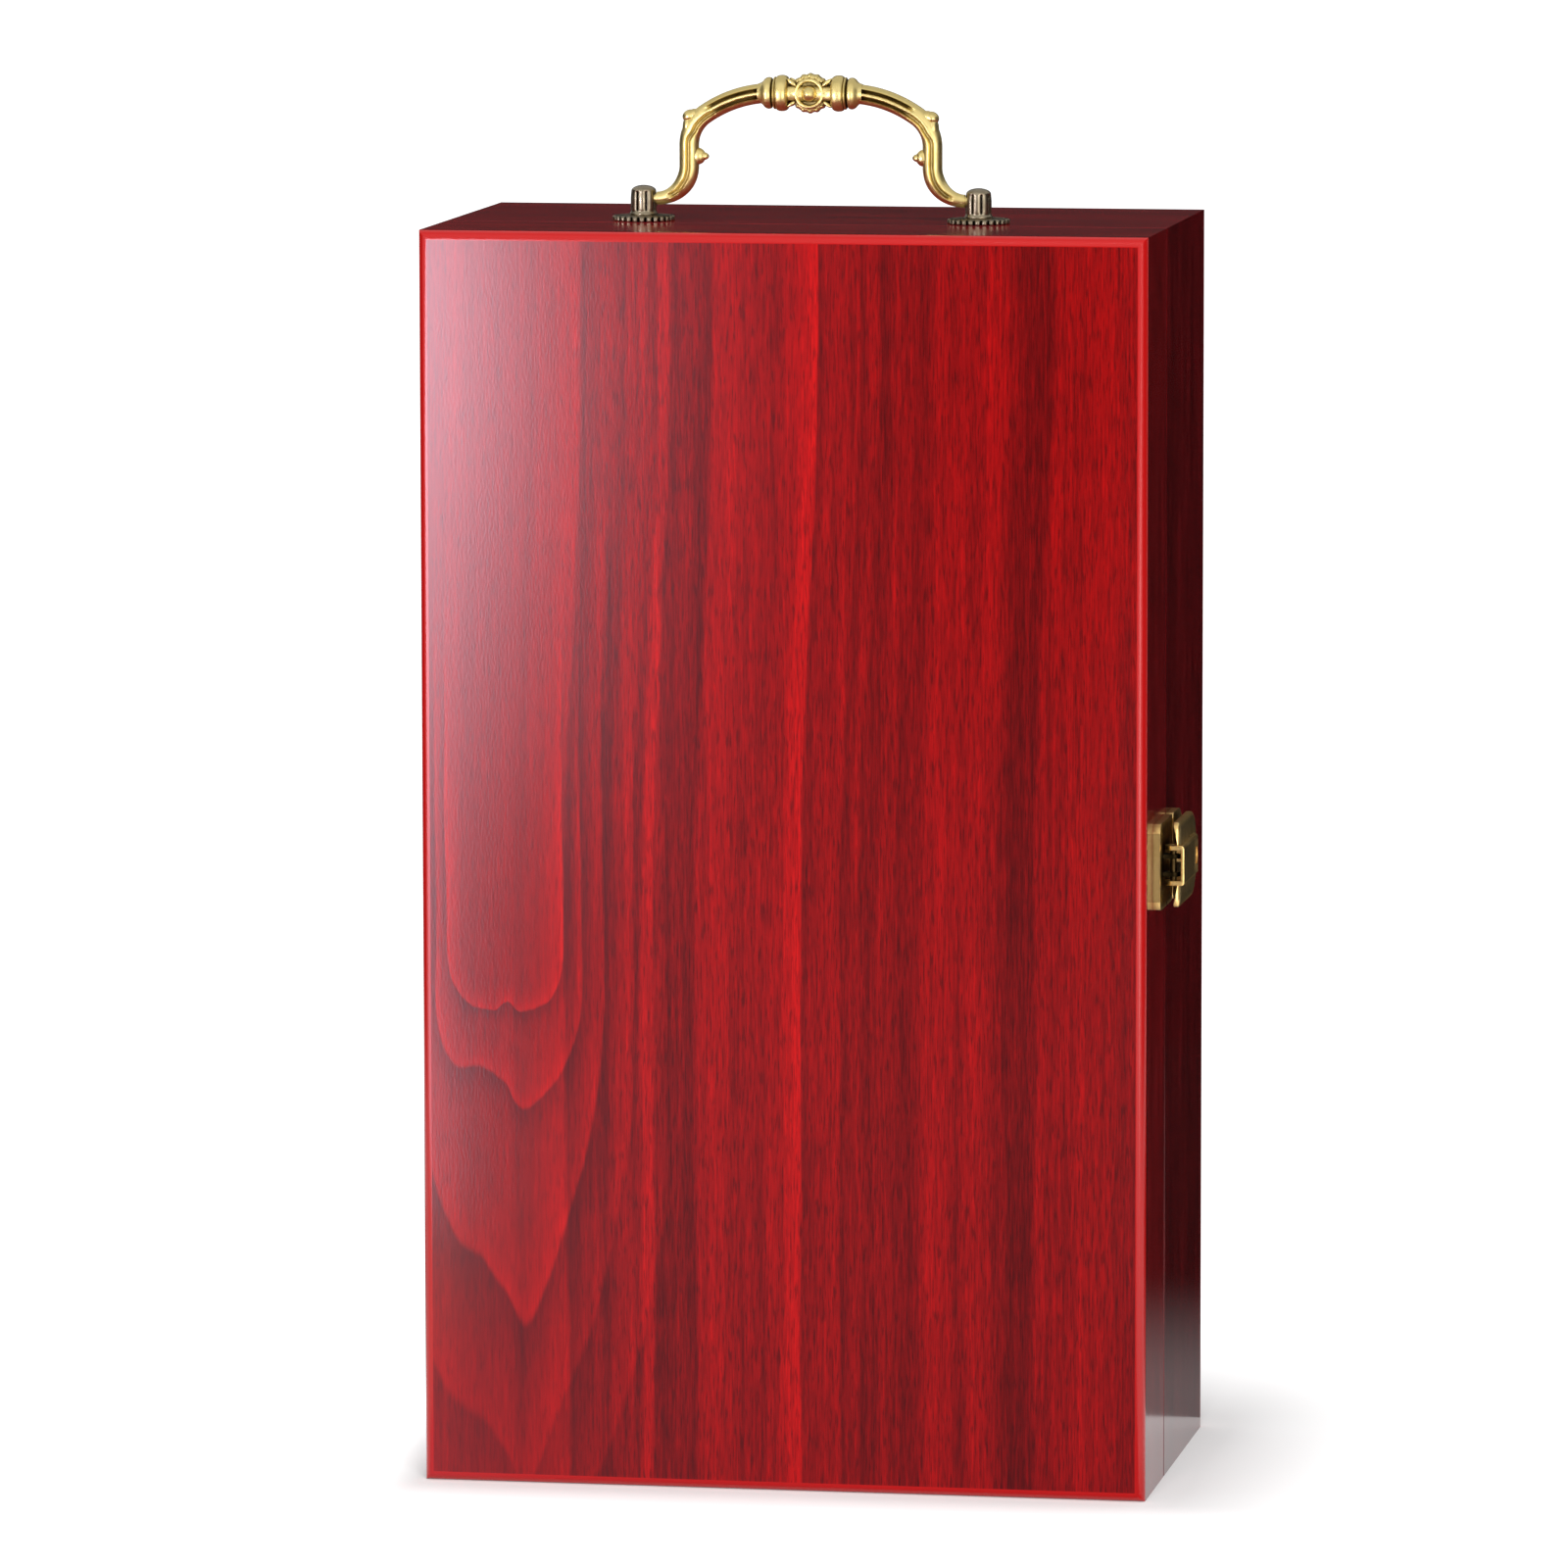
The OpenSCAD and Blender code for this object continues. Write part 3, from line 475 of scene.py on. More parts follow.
def add_object(name: str, mesh: bpy.types.Mesh) -> Object:
    """Links a new object at the origin.

    Args:
        name: the piece's name.
        mesh: its mesh, already in place.

    Returns:
        The object.
    """
    mesh.name = name
    obj = bpy.data.objects.new(name, mesh)
    bpy.context.scene.collection.objects.link(obj)
    return obj


def make_piece(name: str, points: Points, faces: Faces) -> Object:
    """Makes an object from points in millimetres, its faces turned outwards.

    Args:
        name: the piece's name.
        points: rows of x, y, z in the CAD frame.
        faces: corner indices of each face.

    Returns:
        The object.
    """
    mesh = bpy.data.meshes.new(name)
    mesh.from_pydata((np.asarray(points, float) * MM).tolist(), [], faces)
    shell = bmesh.new()
    shell.from_mesh(mesh)
    bmesh.ops.remove_doubles(shell, verts=shell.verts, dist=1e-7)
    bmesh.ops.recalc_face_normals(shell, faces=shell.faces)
    shell.to_mesh(mesh)
    shell.free()
    return add_object(name, mesh)


def loft(rings: Points, capped: bool = True) -> tuple[Points, Faces]:
    """Joins rings of equally many points with quads.

    Args:
        rings: an array of rings, points and coordinates.
        capped: whether the first and last ring are closed.

    Returns:
        The points and faces.
    """
    count, size = rings.shape[:2]
    faces = [[i * size + k, i * size + (k + 1) % size, (i + 1) * size + (k + 1) % size, (i + 1) * size + k]
             for i in range(count - 1) for k in range(size)]
    if capped:
        faces.append(list(range(size - 1, -1, -1)))
        faces.append([(count - 1) * size + k for k in range(size)])
    return rings.reshape(-1, 3), faces


def lathe(profile: list[tuple[float, float]], sides: int) -> tuple[Points, Faces]:
    """Turns a profile round the Z axis.

    Args:
        profile: radius and height of each step. A radius of 0 closes an end.
        sides: steps round the axis.

    Returns:
        The points and faces.
    """
    angles = np.arange(sides) * 2 * math.pi / sides
    rings = np.array([[(max(r, 1e-4) * math.cos(a), max(r, 1e-4) * math.sin(a), z) for a in angles]
                      for r, z in profile])
    return loft(rings)


def ball(centre: Place, radii: Place, turn: float = 0.0) -> tuple[Points, Faces]:
    """Makes an egg shape, turned about the Y axis.

    Args:
        centre: its middle.
        radii: its half sizes along x, y and z before it is turned.
        turn: the angle about Y in degrees.

    Returns:
        The points and faces.
    """
    steps = 12
    profile = [(math.cos(a), math.sin(a)) for a in np.linspace(-math.pi / 2, math.pi / 2, steps + 1)]
    points, faces = lathe(profile, 2 * steps)
    spin = np.array(Matrix.Rotation(math.radians(turn), 3, "Y"))
    return points * radii @ spin.T + centre, faces


def flatten(obj: Object) -> Object:
    """Applies an object's modifiers and removes them.

    Args:
        obj: the object.

    Returns:
        The same object with a plain mesh.
    """
    graph = bpy.context.evaluated_depsgraph_get()
    made = bpy.data.meshes.new_from_object(obj.evaluated_get(graph))
    old = obj.data
    obj.modifiers.clear()
    obj.data = made
    made.name = obj.name
    bpy.data.meshes.remove(old)
    return obj


def carve(obj: Object, tool: Object, operation: str = "DIFFERENCE") -> Object:
    """Cuts a closed tool out of an object or joins it on, and removes the tool.

    Args:
        obj: the object that changes.
        tool: the other object.
        operation: DIFFERENCE or UNION.

    Returns:
        The changed object.
    """
    cut = obj.modifiers.new("cut", "BOOLEAN")
    cut.object, cut.operation, cut.solver = tool, operation, "EXACT"
    flatten(obj)
    bpy.data.objects.remove(tool)
    return obj


def fuse(name: str, shells: list[tuple[Points, Faces]]) -> Object:
    """Joins closed shells that overlap into one solid.

    Args:
        name: the piece's name.
        shells: the points and faces of each.

    Returns:
        The object.
    """
    whole = make_piece(name, *shells[0])
    parts = bpy.data.collections.new("parts")
    for points, faces in shells[1:]:
        parts.objects.link(make_piece("part", points, faces))
    join = whole.modifiers.new("join", "BOOLEAN")
    join.operand_type, join.collection, join.operation, join.solver = "COLLECTION", parts, "UNION", "EXACT"
    flatten(whole)
    for part in list(parts.objects):
        bpy.data.objects.remove(part)
    bpy.data.collections.remove(parts)
    return whole


def smooth(obj: Object, angle: float = 35.0) -> Object:
    """Shades an object smooth, with sharp edges where its faces turn.

    Args:
        obj: the object.
        angle: the least turn between two faces that stays sharp, in degrees.

    Returns:
        The same object.
    """
    obj.data.shade_smooth()
    obj.data.set_sharp_from_angle(angle=math.radians(angle))
    return obj


def mark_hollows(obj: Object, reach: float, field: float = 0.0, rays: int = 20) -> Object:
    """Stores how shut in each point is, for the dark that plating keeps in its grooves, and with a long reach
    for painted shade in deep recesses.

    Args:
        obj: the object, which gets a point attribute named hollow.
        reach: how far a wall may be away and still count, in millimetres.
        field: least value on flat fields that face sideways, a painted dark reflection of what these faces
            mirror.
        rays: directions tried from each point.

    Returns:
        The same object.
    """
    mesh = obj.data
    tree = BVHTree.FromPolygons([v.co for v in mesh.vertices], [p.vertices[:] for p in mesh.polygons])
    golden = math.pi * (3 - math.sqrt(5))
    fan = []
    for i in range(rays):
        up = math.sqrt(1 - (i + 0.5) / rays)
        flat = math.sqrt(1 - up * up)
        fan.append(Vector((flat * math.cos(i * golden), flat * math.sin(i * golden), up)))
    values = np.zeros(len(mesh.vertices), np.float32)
    for index, vertex in enumerate(mesh.vertices):
        normal = vertex.normal
        frame = normal.to_track_quat("Z", "X").to_matrix()
        start = vertex.co + normal * 0.03 * MM
        shut = 0.0
        for way in fan:
            distance = tree.ray_cast(start, frame @ way, reach * MM)[3]
            if distance is not None:
                shut += 1 - 0.5 * distance / (reach * MM)
        # Flat fields that face sideways get at least field, as a painted dark reflection
        values[index] = max(shut / rays, field * max(0.0, 10 * abs(normal.x) - 9))
    # Neighbours are evened out, because narrow faces give ragged values
    ends = np.array([edge.vertices[:] for edge in mesh.edges])
    size = len(values)
    share = np.bincount(ends.ravel(), minlength=size).clip(1)
    for _ in range(3):
        around = np.bincount(ends[:, 0], values[ends[:, 1]], size)
        around += np.bincount(ends[:, 1], values[ends[:, 0]], size)
        values = 0.5 * values + 0.5 * around / share
    mesh.attributes.new("hollow", "FLOAT", "POINT").data.foreach_set("value", values)
    return obj


def fade(value: float, start: float, stop: float) -> float:
    """Rises smoothly from 0 at start to 1 at stop.

    Args:
        value: where on the way.
        start: where the rise starts.
        stop: where it ends.

    Returns:
        The share from 0 to 1.
    """
    t = min(max((value - start) / (stop - start), 0.0), 1.0)
    return t * t * (3 - 2 * t)


def arc(centre: tuple[float, float], radius: float, start: float, stop: float,
        steps: int) -> list[list[float]]:
    """Walks along a circle in the XZ plane.

    Args:
        centre: its middle in x and z.
        radius: its radius.
        start: the first angle from X towards Z, in degrees.
        stop: the last angle.
        steps: how many places.

    Returns:
        For each step the place in x and z and the direction in x and z.
    """
    turn = 1 if stop > start else -1
    ways = [(math.cos(a), math.sin(a)) for a in np.radians(np.linspace(start, stop, steps))]
    return [[centre[0] + radius * x, centre[1] + radius * z, -turn * z, turn * x] for x, z in ways]


def new_tree(name: str, sockets: dict[str, tuple[str, object]]) -> NodeTree:
    """Starts a Geometry Nodes tree with named inputs.

    Args:
        name: the tree's name.
        sockets: each input's socket type and default value.

    Returns:
        The tree, with its input node.
    """
    tree = bpy.data.node_groups.new(name, "GeometryNodeTree")
    tree.interface.new_socket("Geometry", in_out="INPUT", socket_type="NodeSocketGeometry")
    for label, (kind, value) in {**sockets, "Finish": ("Material", None)}.items():
        socket = tree.interface.new_socket(label, in_out="INPUT", socket_type="NodeSocket" + kind)
        if value is not None:
            socket.default_value = value
    tree.interface.new_socket("Geometry", in_out="OUTPUT", socket_type="NodeSocketGeometry")
    tree.nodes.new("NodeGroupInput")
    return tree


def end_tree(tree: NodeTree, geometry: Node) -> None:
    """Ends a tree in Realize Instances and Set Material.

    Args:
        tree: the tree.
        geometry: the node whose geometry comes out.
    """
    given = tree.nodes["Group Input"]
    real = put(tree, "GeometryNodeRealizeInstances", {0: geometry})
    dressed = put(tree, "GeometryNodeSetMaterial", {"Geometry": real, "Material": given.outputs["Finish"]})
    put(tree, "NodeGroupOutput", {0: dressed})


def grow(obj: Object, tree: NodeTree, values: dict[str, object]) -> Object:
    """Runs a Geometry Nodes tree on an object and keeps the result as a plain mesh.

    Args:
        obj: the object.
        tree: the tree.
        values: the tree's inputs by name.

    Returns:
        The same object.
    """
    modifier = obj.modifiers.new("grow", "NODES")
    modifier.node_group = tree
    for item in tree.interface.items_tree:
        if item.item_type == "SOCKET" and item.in_out == "INPUT" and item.name in values:
            modifier[item.identifier] = values[item.name]
    return flatten(obj)


def screw_tree() -> NodeTree:
    """Makes the tree that sets a countersunk cross head screw on each point.

    Returns:
        The tree.
    """
    tree = new_tree("countersunk_screws", {
        "Head radius": ("Float", 1.9 * MM), "Head height": ("Float", 0.9 * MM),
        "Shank radius": ("Float", 1.0 * MM), "Tip radius": ("Float", 0.2 * MM),
        "Length": ("Float", 7.5 * MM), "Slot width": ("Float", 0.5 * MM),
        "Slot depth": ("Float", 0.5 * MM), "Aim": ("Rotation", (0, 0, 0))})
    given = tree.nodes["Group Input"].outputs
    head = put(tree, "GeometryNodeMeshCone", {
        "Vertices": 32, "Radius Top": given["Head radius"], "Radius Bottom": given["Shank radius"],
        "Depth": given["Head height"]})
    drop = put(tree, MATH, {0: given["Head height"], 1: -1.0}, operation="MULTIPLY")
    drop = put(tree, "ShaderNodeCombineXYZ", {2: drop})
    head = put(tree, "GeometryNodeTransform", {"Geometry": head, "Translation": drop})
    long = put(tree, MATH, {0: given["Length"], 1: given["Head height"]}, operation="SUBTRACT")
    shank = put(tree, "GeometryNodeMeshCone", {
        "Vertices": 32, "Radius Top": given["Shank radius"], "Radius Bottom": given["Tip radius"],
        "Depth": long})
    low = put(tree, MATH, {0: given["Length"], 1: -1.0}, operation="MULTIPLY")
    low = put(tree, "ShaderNodeCombineXYZ", {2: low})
    shank = put(tree, "GeometryNodeTransform", {"Geometry": shank, "Translation": low})
    across = put(tree, MATH, {0: given["Head radius"], 1: 1.15}, operation="MULTIPLY")
    deep = put(tree, MATH, {0: given["Slot depth"], 1: 2.0}, operation="MULTIPLY")
    slots = []
    for sizes in ((across, given["Slot width"]), (given["Slot width"], across)):
        size = put(tree, "ShaderNodeCombineXYZ", {0: sizes[0], 1: sizes[1], 2: deep})
        slots.append(put(tree, "GeometryNodeMeshCube", {"Size": size}))
    body = put(tree, "GeometryNodeMeshBoolean", {"Mesh 2": head}, operation="UNION")
    tree.links.new(shank.outputs[0], body.inputs["Mesh 2"])
    screw = put(tree, "GeometryNodeMeshBoolean", {"Mesh 1": body, "Mesh 2": slots[0]}, operation="DIFFERENCE")
    tree.links.new(slots[1].outputs[0], screw.inputs["Mesh 2"])
    twist = put(tree, "FunctionNodeRandomValue", {"Min": (0, 0, 0), "Max": (0, 0, 3.14), "Seed": 4},
                data_type="FLOAT_VECTOR")
    twist = put(tree, "FunctionNodeEulerToRotation", {0: twist})
    turn = put(tree, "FunctionNodeRotateRotation", {0: given["Aim"], 1: twist}, rotation_space="LOCAL")
    many = put(tree, "GeometryNodeInstanceOnPoints", {
        "Points": given["Geometry"], "Instance": screw, "Rotation": turn})
    end_tree(tree, many)
    return tree


def flute_tree() -> NodeTree:
    """Makes the tree that presses flutes or scallops into a turned piece, marks them and puts it in place.

    Returns:
        The tree.
    """
    tree = new_tree("flutes", {
        "Count": ("Float", 8.0), "Depth": ("Float", 0.5 * MM), "Sharpness": ("Float", 0.5),
        "Radial": ("Float", 0.0), "From": ("Float", 0.0), "To": ("Float", 10.0 * MM),
        "Fade": ("Float", 0.5 * MM), "Place": ("Vector", (0, 0, 0))})
    given = tree.nodes["Group Input"].outputs
    place = put(tree, "GeometryNodeInputPosition")
    axes = put(tree, "ShaderNodeSeparateXYZ", {0: place})
    flat = put(tree, "ShaderNodeVectorMath", {0: place, 1: (1, 1, 0)}, operation="MULTIPLY")
    radius = put(tree, "ShaderNodeVectorMath", {0: flat}, operation="LENGTH").outputs["Value"]
    angle = put(tree, MATH, {0: axes.outputs[1], 1: axes.outputs[0]}, operation="ARCTAN2")
    half = put(tree, MATH, {0: given["Count"], 1: 0.5}, operation="MULTIPLY")
    wave = put(tree, MATH, {0: angle, 1: half}, operation="MULTIPLY")
    wave = put(tree, MATH, {0: wave}, operation="COSINE")
    wave = put(tree, MATH, {0: wave}, operation="ABSOLUTE")
    wave = put(tree, MATH, {0: wave, 1: given["Sharpness"]}, operation="POWER")
    wave = put(tree, MATH, {0: 1.0, 1: wave}, operation="SUBTRACT")
    run = put(tree, "ShaderNodeMix", {0: given["Radial"], 2: axes.outputs[2], 3: radius}, data_type="FLOAT")
    start = put(tree, MATH, {0: given["From"], 1: given["Fade"]}, operation="ADD")
    stop = put(tree, MATH, {0: given["To"], 1: given["Fade"]}, operation="SUBTRACT")
    rise = put(tree, "ShaderNodeMapRange", {0: run, 1: given["From"], 2: start},
               interpolation_type="SMOOTHSTEP")
    fall = put(tree, "ShaderNodeMapRange", {0: run, 1: given["To"], 2: stop},
               interpolation_type="SMOOTHSTEP")
    press = put(tree, MATH, {0: rise, 1: fall}, operation="MULTIPLY")
    share = put(tree, MATH, {0: press, 1: wave}, operation="MULTIPLY")
    press = put(tree, MATH, {0: share, 1: given["Depth"]}, operation="MULTIPLY")
    inward = put(tree, "ShaderNodeVectorMath", {0: flat}, operation="NORMALIZE")
    inward = put(tree, "ShaderNodeVectorMath", {0: inward, 3: press}, operation="SCALE")
    inward = put(tree, "ShaderNodeVectorMath", {0: inward, 3: -1.0}, operation="SCALE")
    marked = put(tree, "GeometryNodeStoreNamedAttribute", {
        "Geometry": given["Geometry"], "Name": "hollow", "Value": share}, data_type="FLOAT", domain="POINT")
    pressed = put(tree, "GeometryNodeSetPosition", {"Geometry": marked, "Offset": inward})
    moved = put(tree, "GeometryNodeTransform", {"Geometry": pressed, "Translation": given["Place"]})
    end_tree(tree, moved)
    return tree


def petal_tree() -> NodeTree:
    """Makes the tree that sets rounded petals round a circle that faces the front.

    Returns:
        The tree.
    """
    tree = new_tree("petals", {
        "Count": ("Int", 14), "Circle": ("Float", 5.0 * MM),
        "Petal": ("Vector", (0.7 * MM, 0.7 * MM, 1.8 * MM)), "Place": ("Vector", (0, 0, 0))})
    given = tree.nodes["Group Input"].outputs
    circle = put(tree, "GeometryNodeMeshCircle", {"Vertices": given["Count"], "Radius": given["Circle"]})
    petal = put(tree, "GeometryNodeMeshUVSphere", {"Segments": 14, "Rings": 10, "Radius": 1.0})
    many = put(tree, "GeometryNodeInstanceOnPoints", {
        "Points": circle, "Instance": petal, "Scale": given["Petal"]})
    many = put(tree, "GeometryNodeTransform", {
        "Geometry": many, "Translation": given["Place"], "Rotation": Euler((math.pi / 2, 0, 0))})
    end_tree(tree, many)
    return tree


class Shop:
    """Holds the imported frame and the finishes, and hands pieces over to the frame."""

    def __init__(self, frame: dict) -> None:
        """Keeps the frame.
        """
        self.nodes: dict[str, Object] = frame["nodes"]
        self.finishes: dict[str, Material] = {}

    def finish(self, look: PanelVeneer | SideVeneer | Velvet | PlatedMetal) -> Material:
        """Gives the material of a finish, made once.

        Args:
            look: the finish.

        Returns:
            Its material.
        """
        if look.name not in self.finishes:
            self.finishes[look.name] = look.build()
        return self.finishes[look.name]

    def repaint(self, node: str, material: Material) -> None:
        """Puts a material on a CAD node that stays.

        Args:
            node: the node's name.
            material: the material.
        """
        slots = self.nodes[node].material_slots
        if not slots:
            self.nodes[node].data.materials.append(material)
        for held in slots:
            held.material = material
        LOG.info("repainted %s with %s", node, material.name)

    def soften(self, node: str, name: str, width: float, rolled: float = 0.0, segments: int = 3) -> Object:
        """Copies a CAD node and rounds its edges.

        Args:
            node: the node's name.
            name: the new piece's name.
            width: width of the rounding in millimetres.
            rolled: width of a wider rounding on the outer edge of its front, 0 for none.
            segments: steps in the rounding.

        Returns:
            The new object.
        """
        mesh = self.nodes[node].data.copy()
        mesh.materials.clear()
        shell = bmesh.new()
        shell.from_mesh(mesh)
        bmesh.ops.remove_doubles(shell, verts=shell.verts, dist=1e-6)
        bmesh.ops.dissolve_limit(shell, angle_limit=math.radians(1), verts=shell.verts, edges=shell.edges)
        if rolled:
            front = min(v.co.y for v in shell.verts) + 1e-5
            outer = max(v.co.x for v in shell.verts if v.co.y < front) - 1e-5
            edges = [e for e in shell.edges if all(v.co.y < front and v.co.x > outer for v in e.verts)]
            bmesh.ops.bevel(shell, geom=edges, offset=rolled * MM, segments=6, profile=0.5, affect="EDGES")
        shell.to_mesh(mesh)
        shell.free()
        obj = add_object(name, mesh)
        bevel = obj.modifiers.new("round", "BEVEL")
        bevel.width, bevel.segments = width * MM, segments
        bevel.limit_method, bevel.angle_limit = "ANGLE", math.radians(40)
        flatten(obj)
        return smooth(obj)

    def hand_over(self, obj: Object, body: str, slot: str, material: Material | None, *nodes: str) -> None:
        """Dresses a finished piece and hangs it on its body.

        Args:
            obj: the piece.
            body: the CAD body that it rides on.
            slot: the record's material slot, not used.
            material: its material, or None if its mesh has it already.
            nodes: the CAD nodes that it stands for.
        """
        if material is not None:
            obj.data.materials.clear()
            obj.data.materials.append(material)
        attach(obj, body)
        if nodes:
            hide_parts(*nodes)
        LOG.info("built %s: %d faces on %s", obj.name, len(obj.data.polygons), body)


@dataclass
class Case:
    """The two panels, the side boards and the lining."""

    width: float = 206.0
    depth: float = 120.0
    height: float = 355.0
    panel: float = 5.0
    edge: float = 2.7
    pile: float = 0.7

    def face_panel(self, name: str, front: bool) -> Object:
        """Builds a panel whose four outer edges are rounded and mitred.

        Args:
            name: the piece's name.
            front: True for the lid's panel, False for the back.

        Returns:
            The object.
        """
        way = -1 if front else 1
        steps = [(self.edge * (1 - math.cos(a)), self.edge * (1 - math.sin(a)))
                 for a in np.linspace(math.pi / 2, 0, 10)]
        rings = []
        for deep, inset in [(self.panel, 0.0)] + steps:
            x, low, high = self.width / 2 - inset, inset, self.height - inset
            y = way * (self.depth / 2 - deep)
            rings.append([(-x, y, low), (x, y, low), (x, y, high), (-x, y, high)])
        return smooth(make_piece(name, *loft(np.array(rings))), 30)

    def build(self, shop: Shop) -> None:
        """Builds and dresses the pieces.

        Args:
            shop: the frame and the finishes.
        """
        for name, node, body, face_y, way, shift in (
                ("lid_face", "lid_panel", "lid", -self.depth / 2, 1.0, 0.0),
                ("back_face", "back_panel", "case", self.depth / 2, -1.0, 37.0)):
            look = PanelVeneer(
                "lacquered_rosewood_" + name, self.width, self.height, self.edge, face_y, way, shift)
            panel = self.face_panel(name, body == "lid")
            shop.hand_over(panel, body, "panel_veneer", shop.finish(look), node)
        # The upright boards are drawn darker than the panels: partly a darker veneer and partly painted shade
        # on sides that the lamp hardly lights. The lid's upright boards are redder than the case's.
        redder = SideVeneer("polished_rosewood_red", GrainWay.UPRIGHT, ("4c090d", "781015", "9c161d"))
        upright = SideVeneer("polished_rosewood_upright", GrainWay.UPRIGHT, ("3c080b", "620c11", "84131a"))
        across = SideVeneer("polished_rosewood_across", GrainWay.ACROSS, ("56090f", "860f17", "b0181e"))
        for board, sheet in (("lid_rail", redder), ("case_board", upright)):
            for side in ("left", "right"):
                shop.repaint(f"{board}_{side}", shop.finish(sheet))
            for side in ("top", "bottom"):
                shop.repaint(f"{board}_{side}", shop.finish(across))
        velvet = shop.finish(Velvet())
        linings = {"lid_liner": "lid"}
        for side in ("back", "top", "bottom", "left", "right"):
            linings[f"liner_{side}"] = "case"
        linings["bottle_divider"] = "case"
        for rest in ("neck_rest", "heel_rest"):
            for side in ("left", "right"):
                linings[f"{rest}_{side}"] = "case"
        for node, body in linings.items():
            board = shop.soften(node, node + "_velvet", self.pile)
            shop.hand_over(board, body, "velvet", velvet, node)


@dataclass
class Hinges:
    """Two butt hinges and their countersunk screws."""

    width: float = 206.0
    seam_y: float = -20.0
    height: float = 355.0
    inset: float = 60.0
    length: float = 38.0
    leaf: float = 7.5
    leaf_gap: float = 0.3

    def build(self, shop: Shop) -> None:
        """Dresses the leaves and pins and builds the screws.

        Args:
            shop: the frame and the finishes.
        """
        brass = shop.finish(
            PlatedMetal("antique_brass_stamped", "a98c54", "6a5530", "2a1d0a", 0.34, marked=False))
        for place in ("upper", "lower"):
            for node in ("hinge_lid_leaf_", "hinge_case_leaf_", "hinge_pin_"):
                shop.repaint(node + place, brass)
        tree = screw_tree()
        x = -self.width / 2 + self.leaf / 2
        for way, node, body in ((-1, "hinge_lid_screws", "lid"), (1, "hinge_case_screws", "case")):
            y = self.seam_y + way * self.leaf_gap / 2
            heights = [z + i * self.length / 3
                       for z in (self.inset, self.height - self.inset) for i in (-1, 0, 1)]
            seats = make_piece(node + "_cross_head", [(x, y, z) for z in heights], [])
            grow(seats, tree, {"Aim": (way * math.pi / 2, 0, 0), "Finish": brass})
            shop.hand_over(smooth(seats), body, "hinge_brass", None, node)


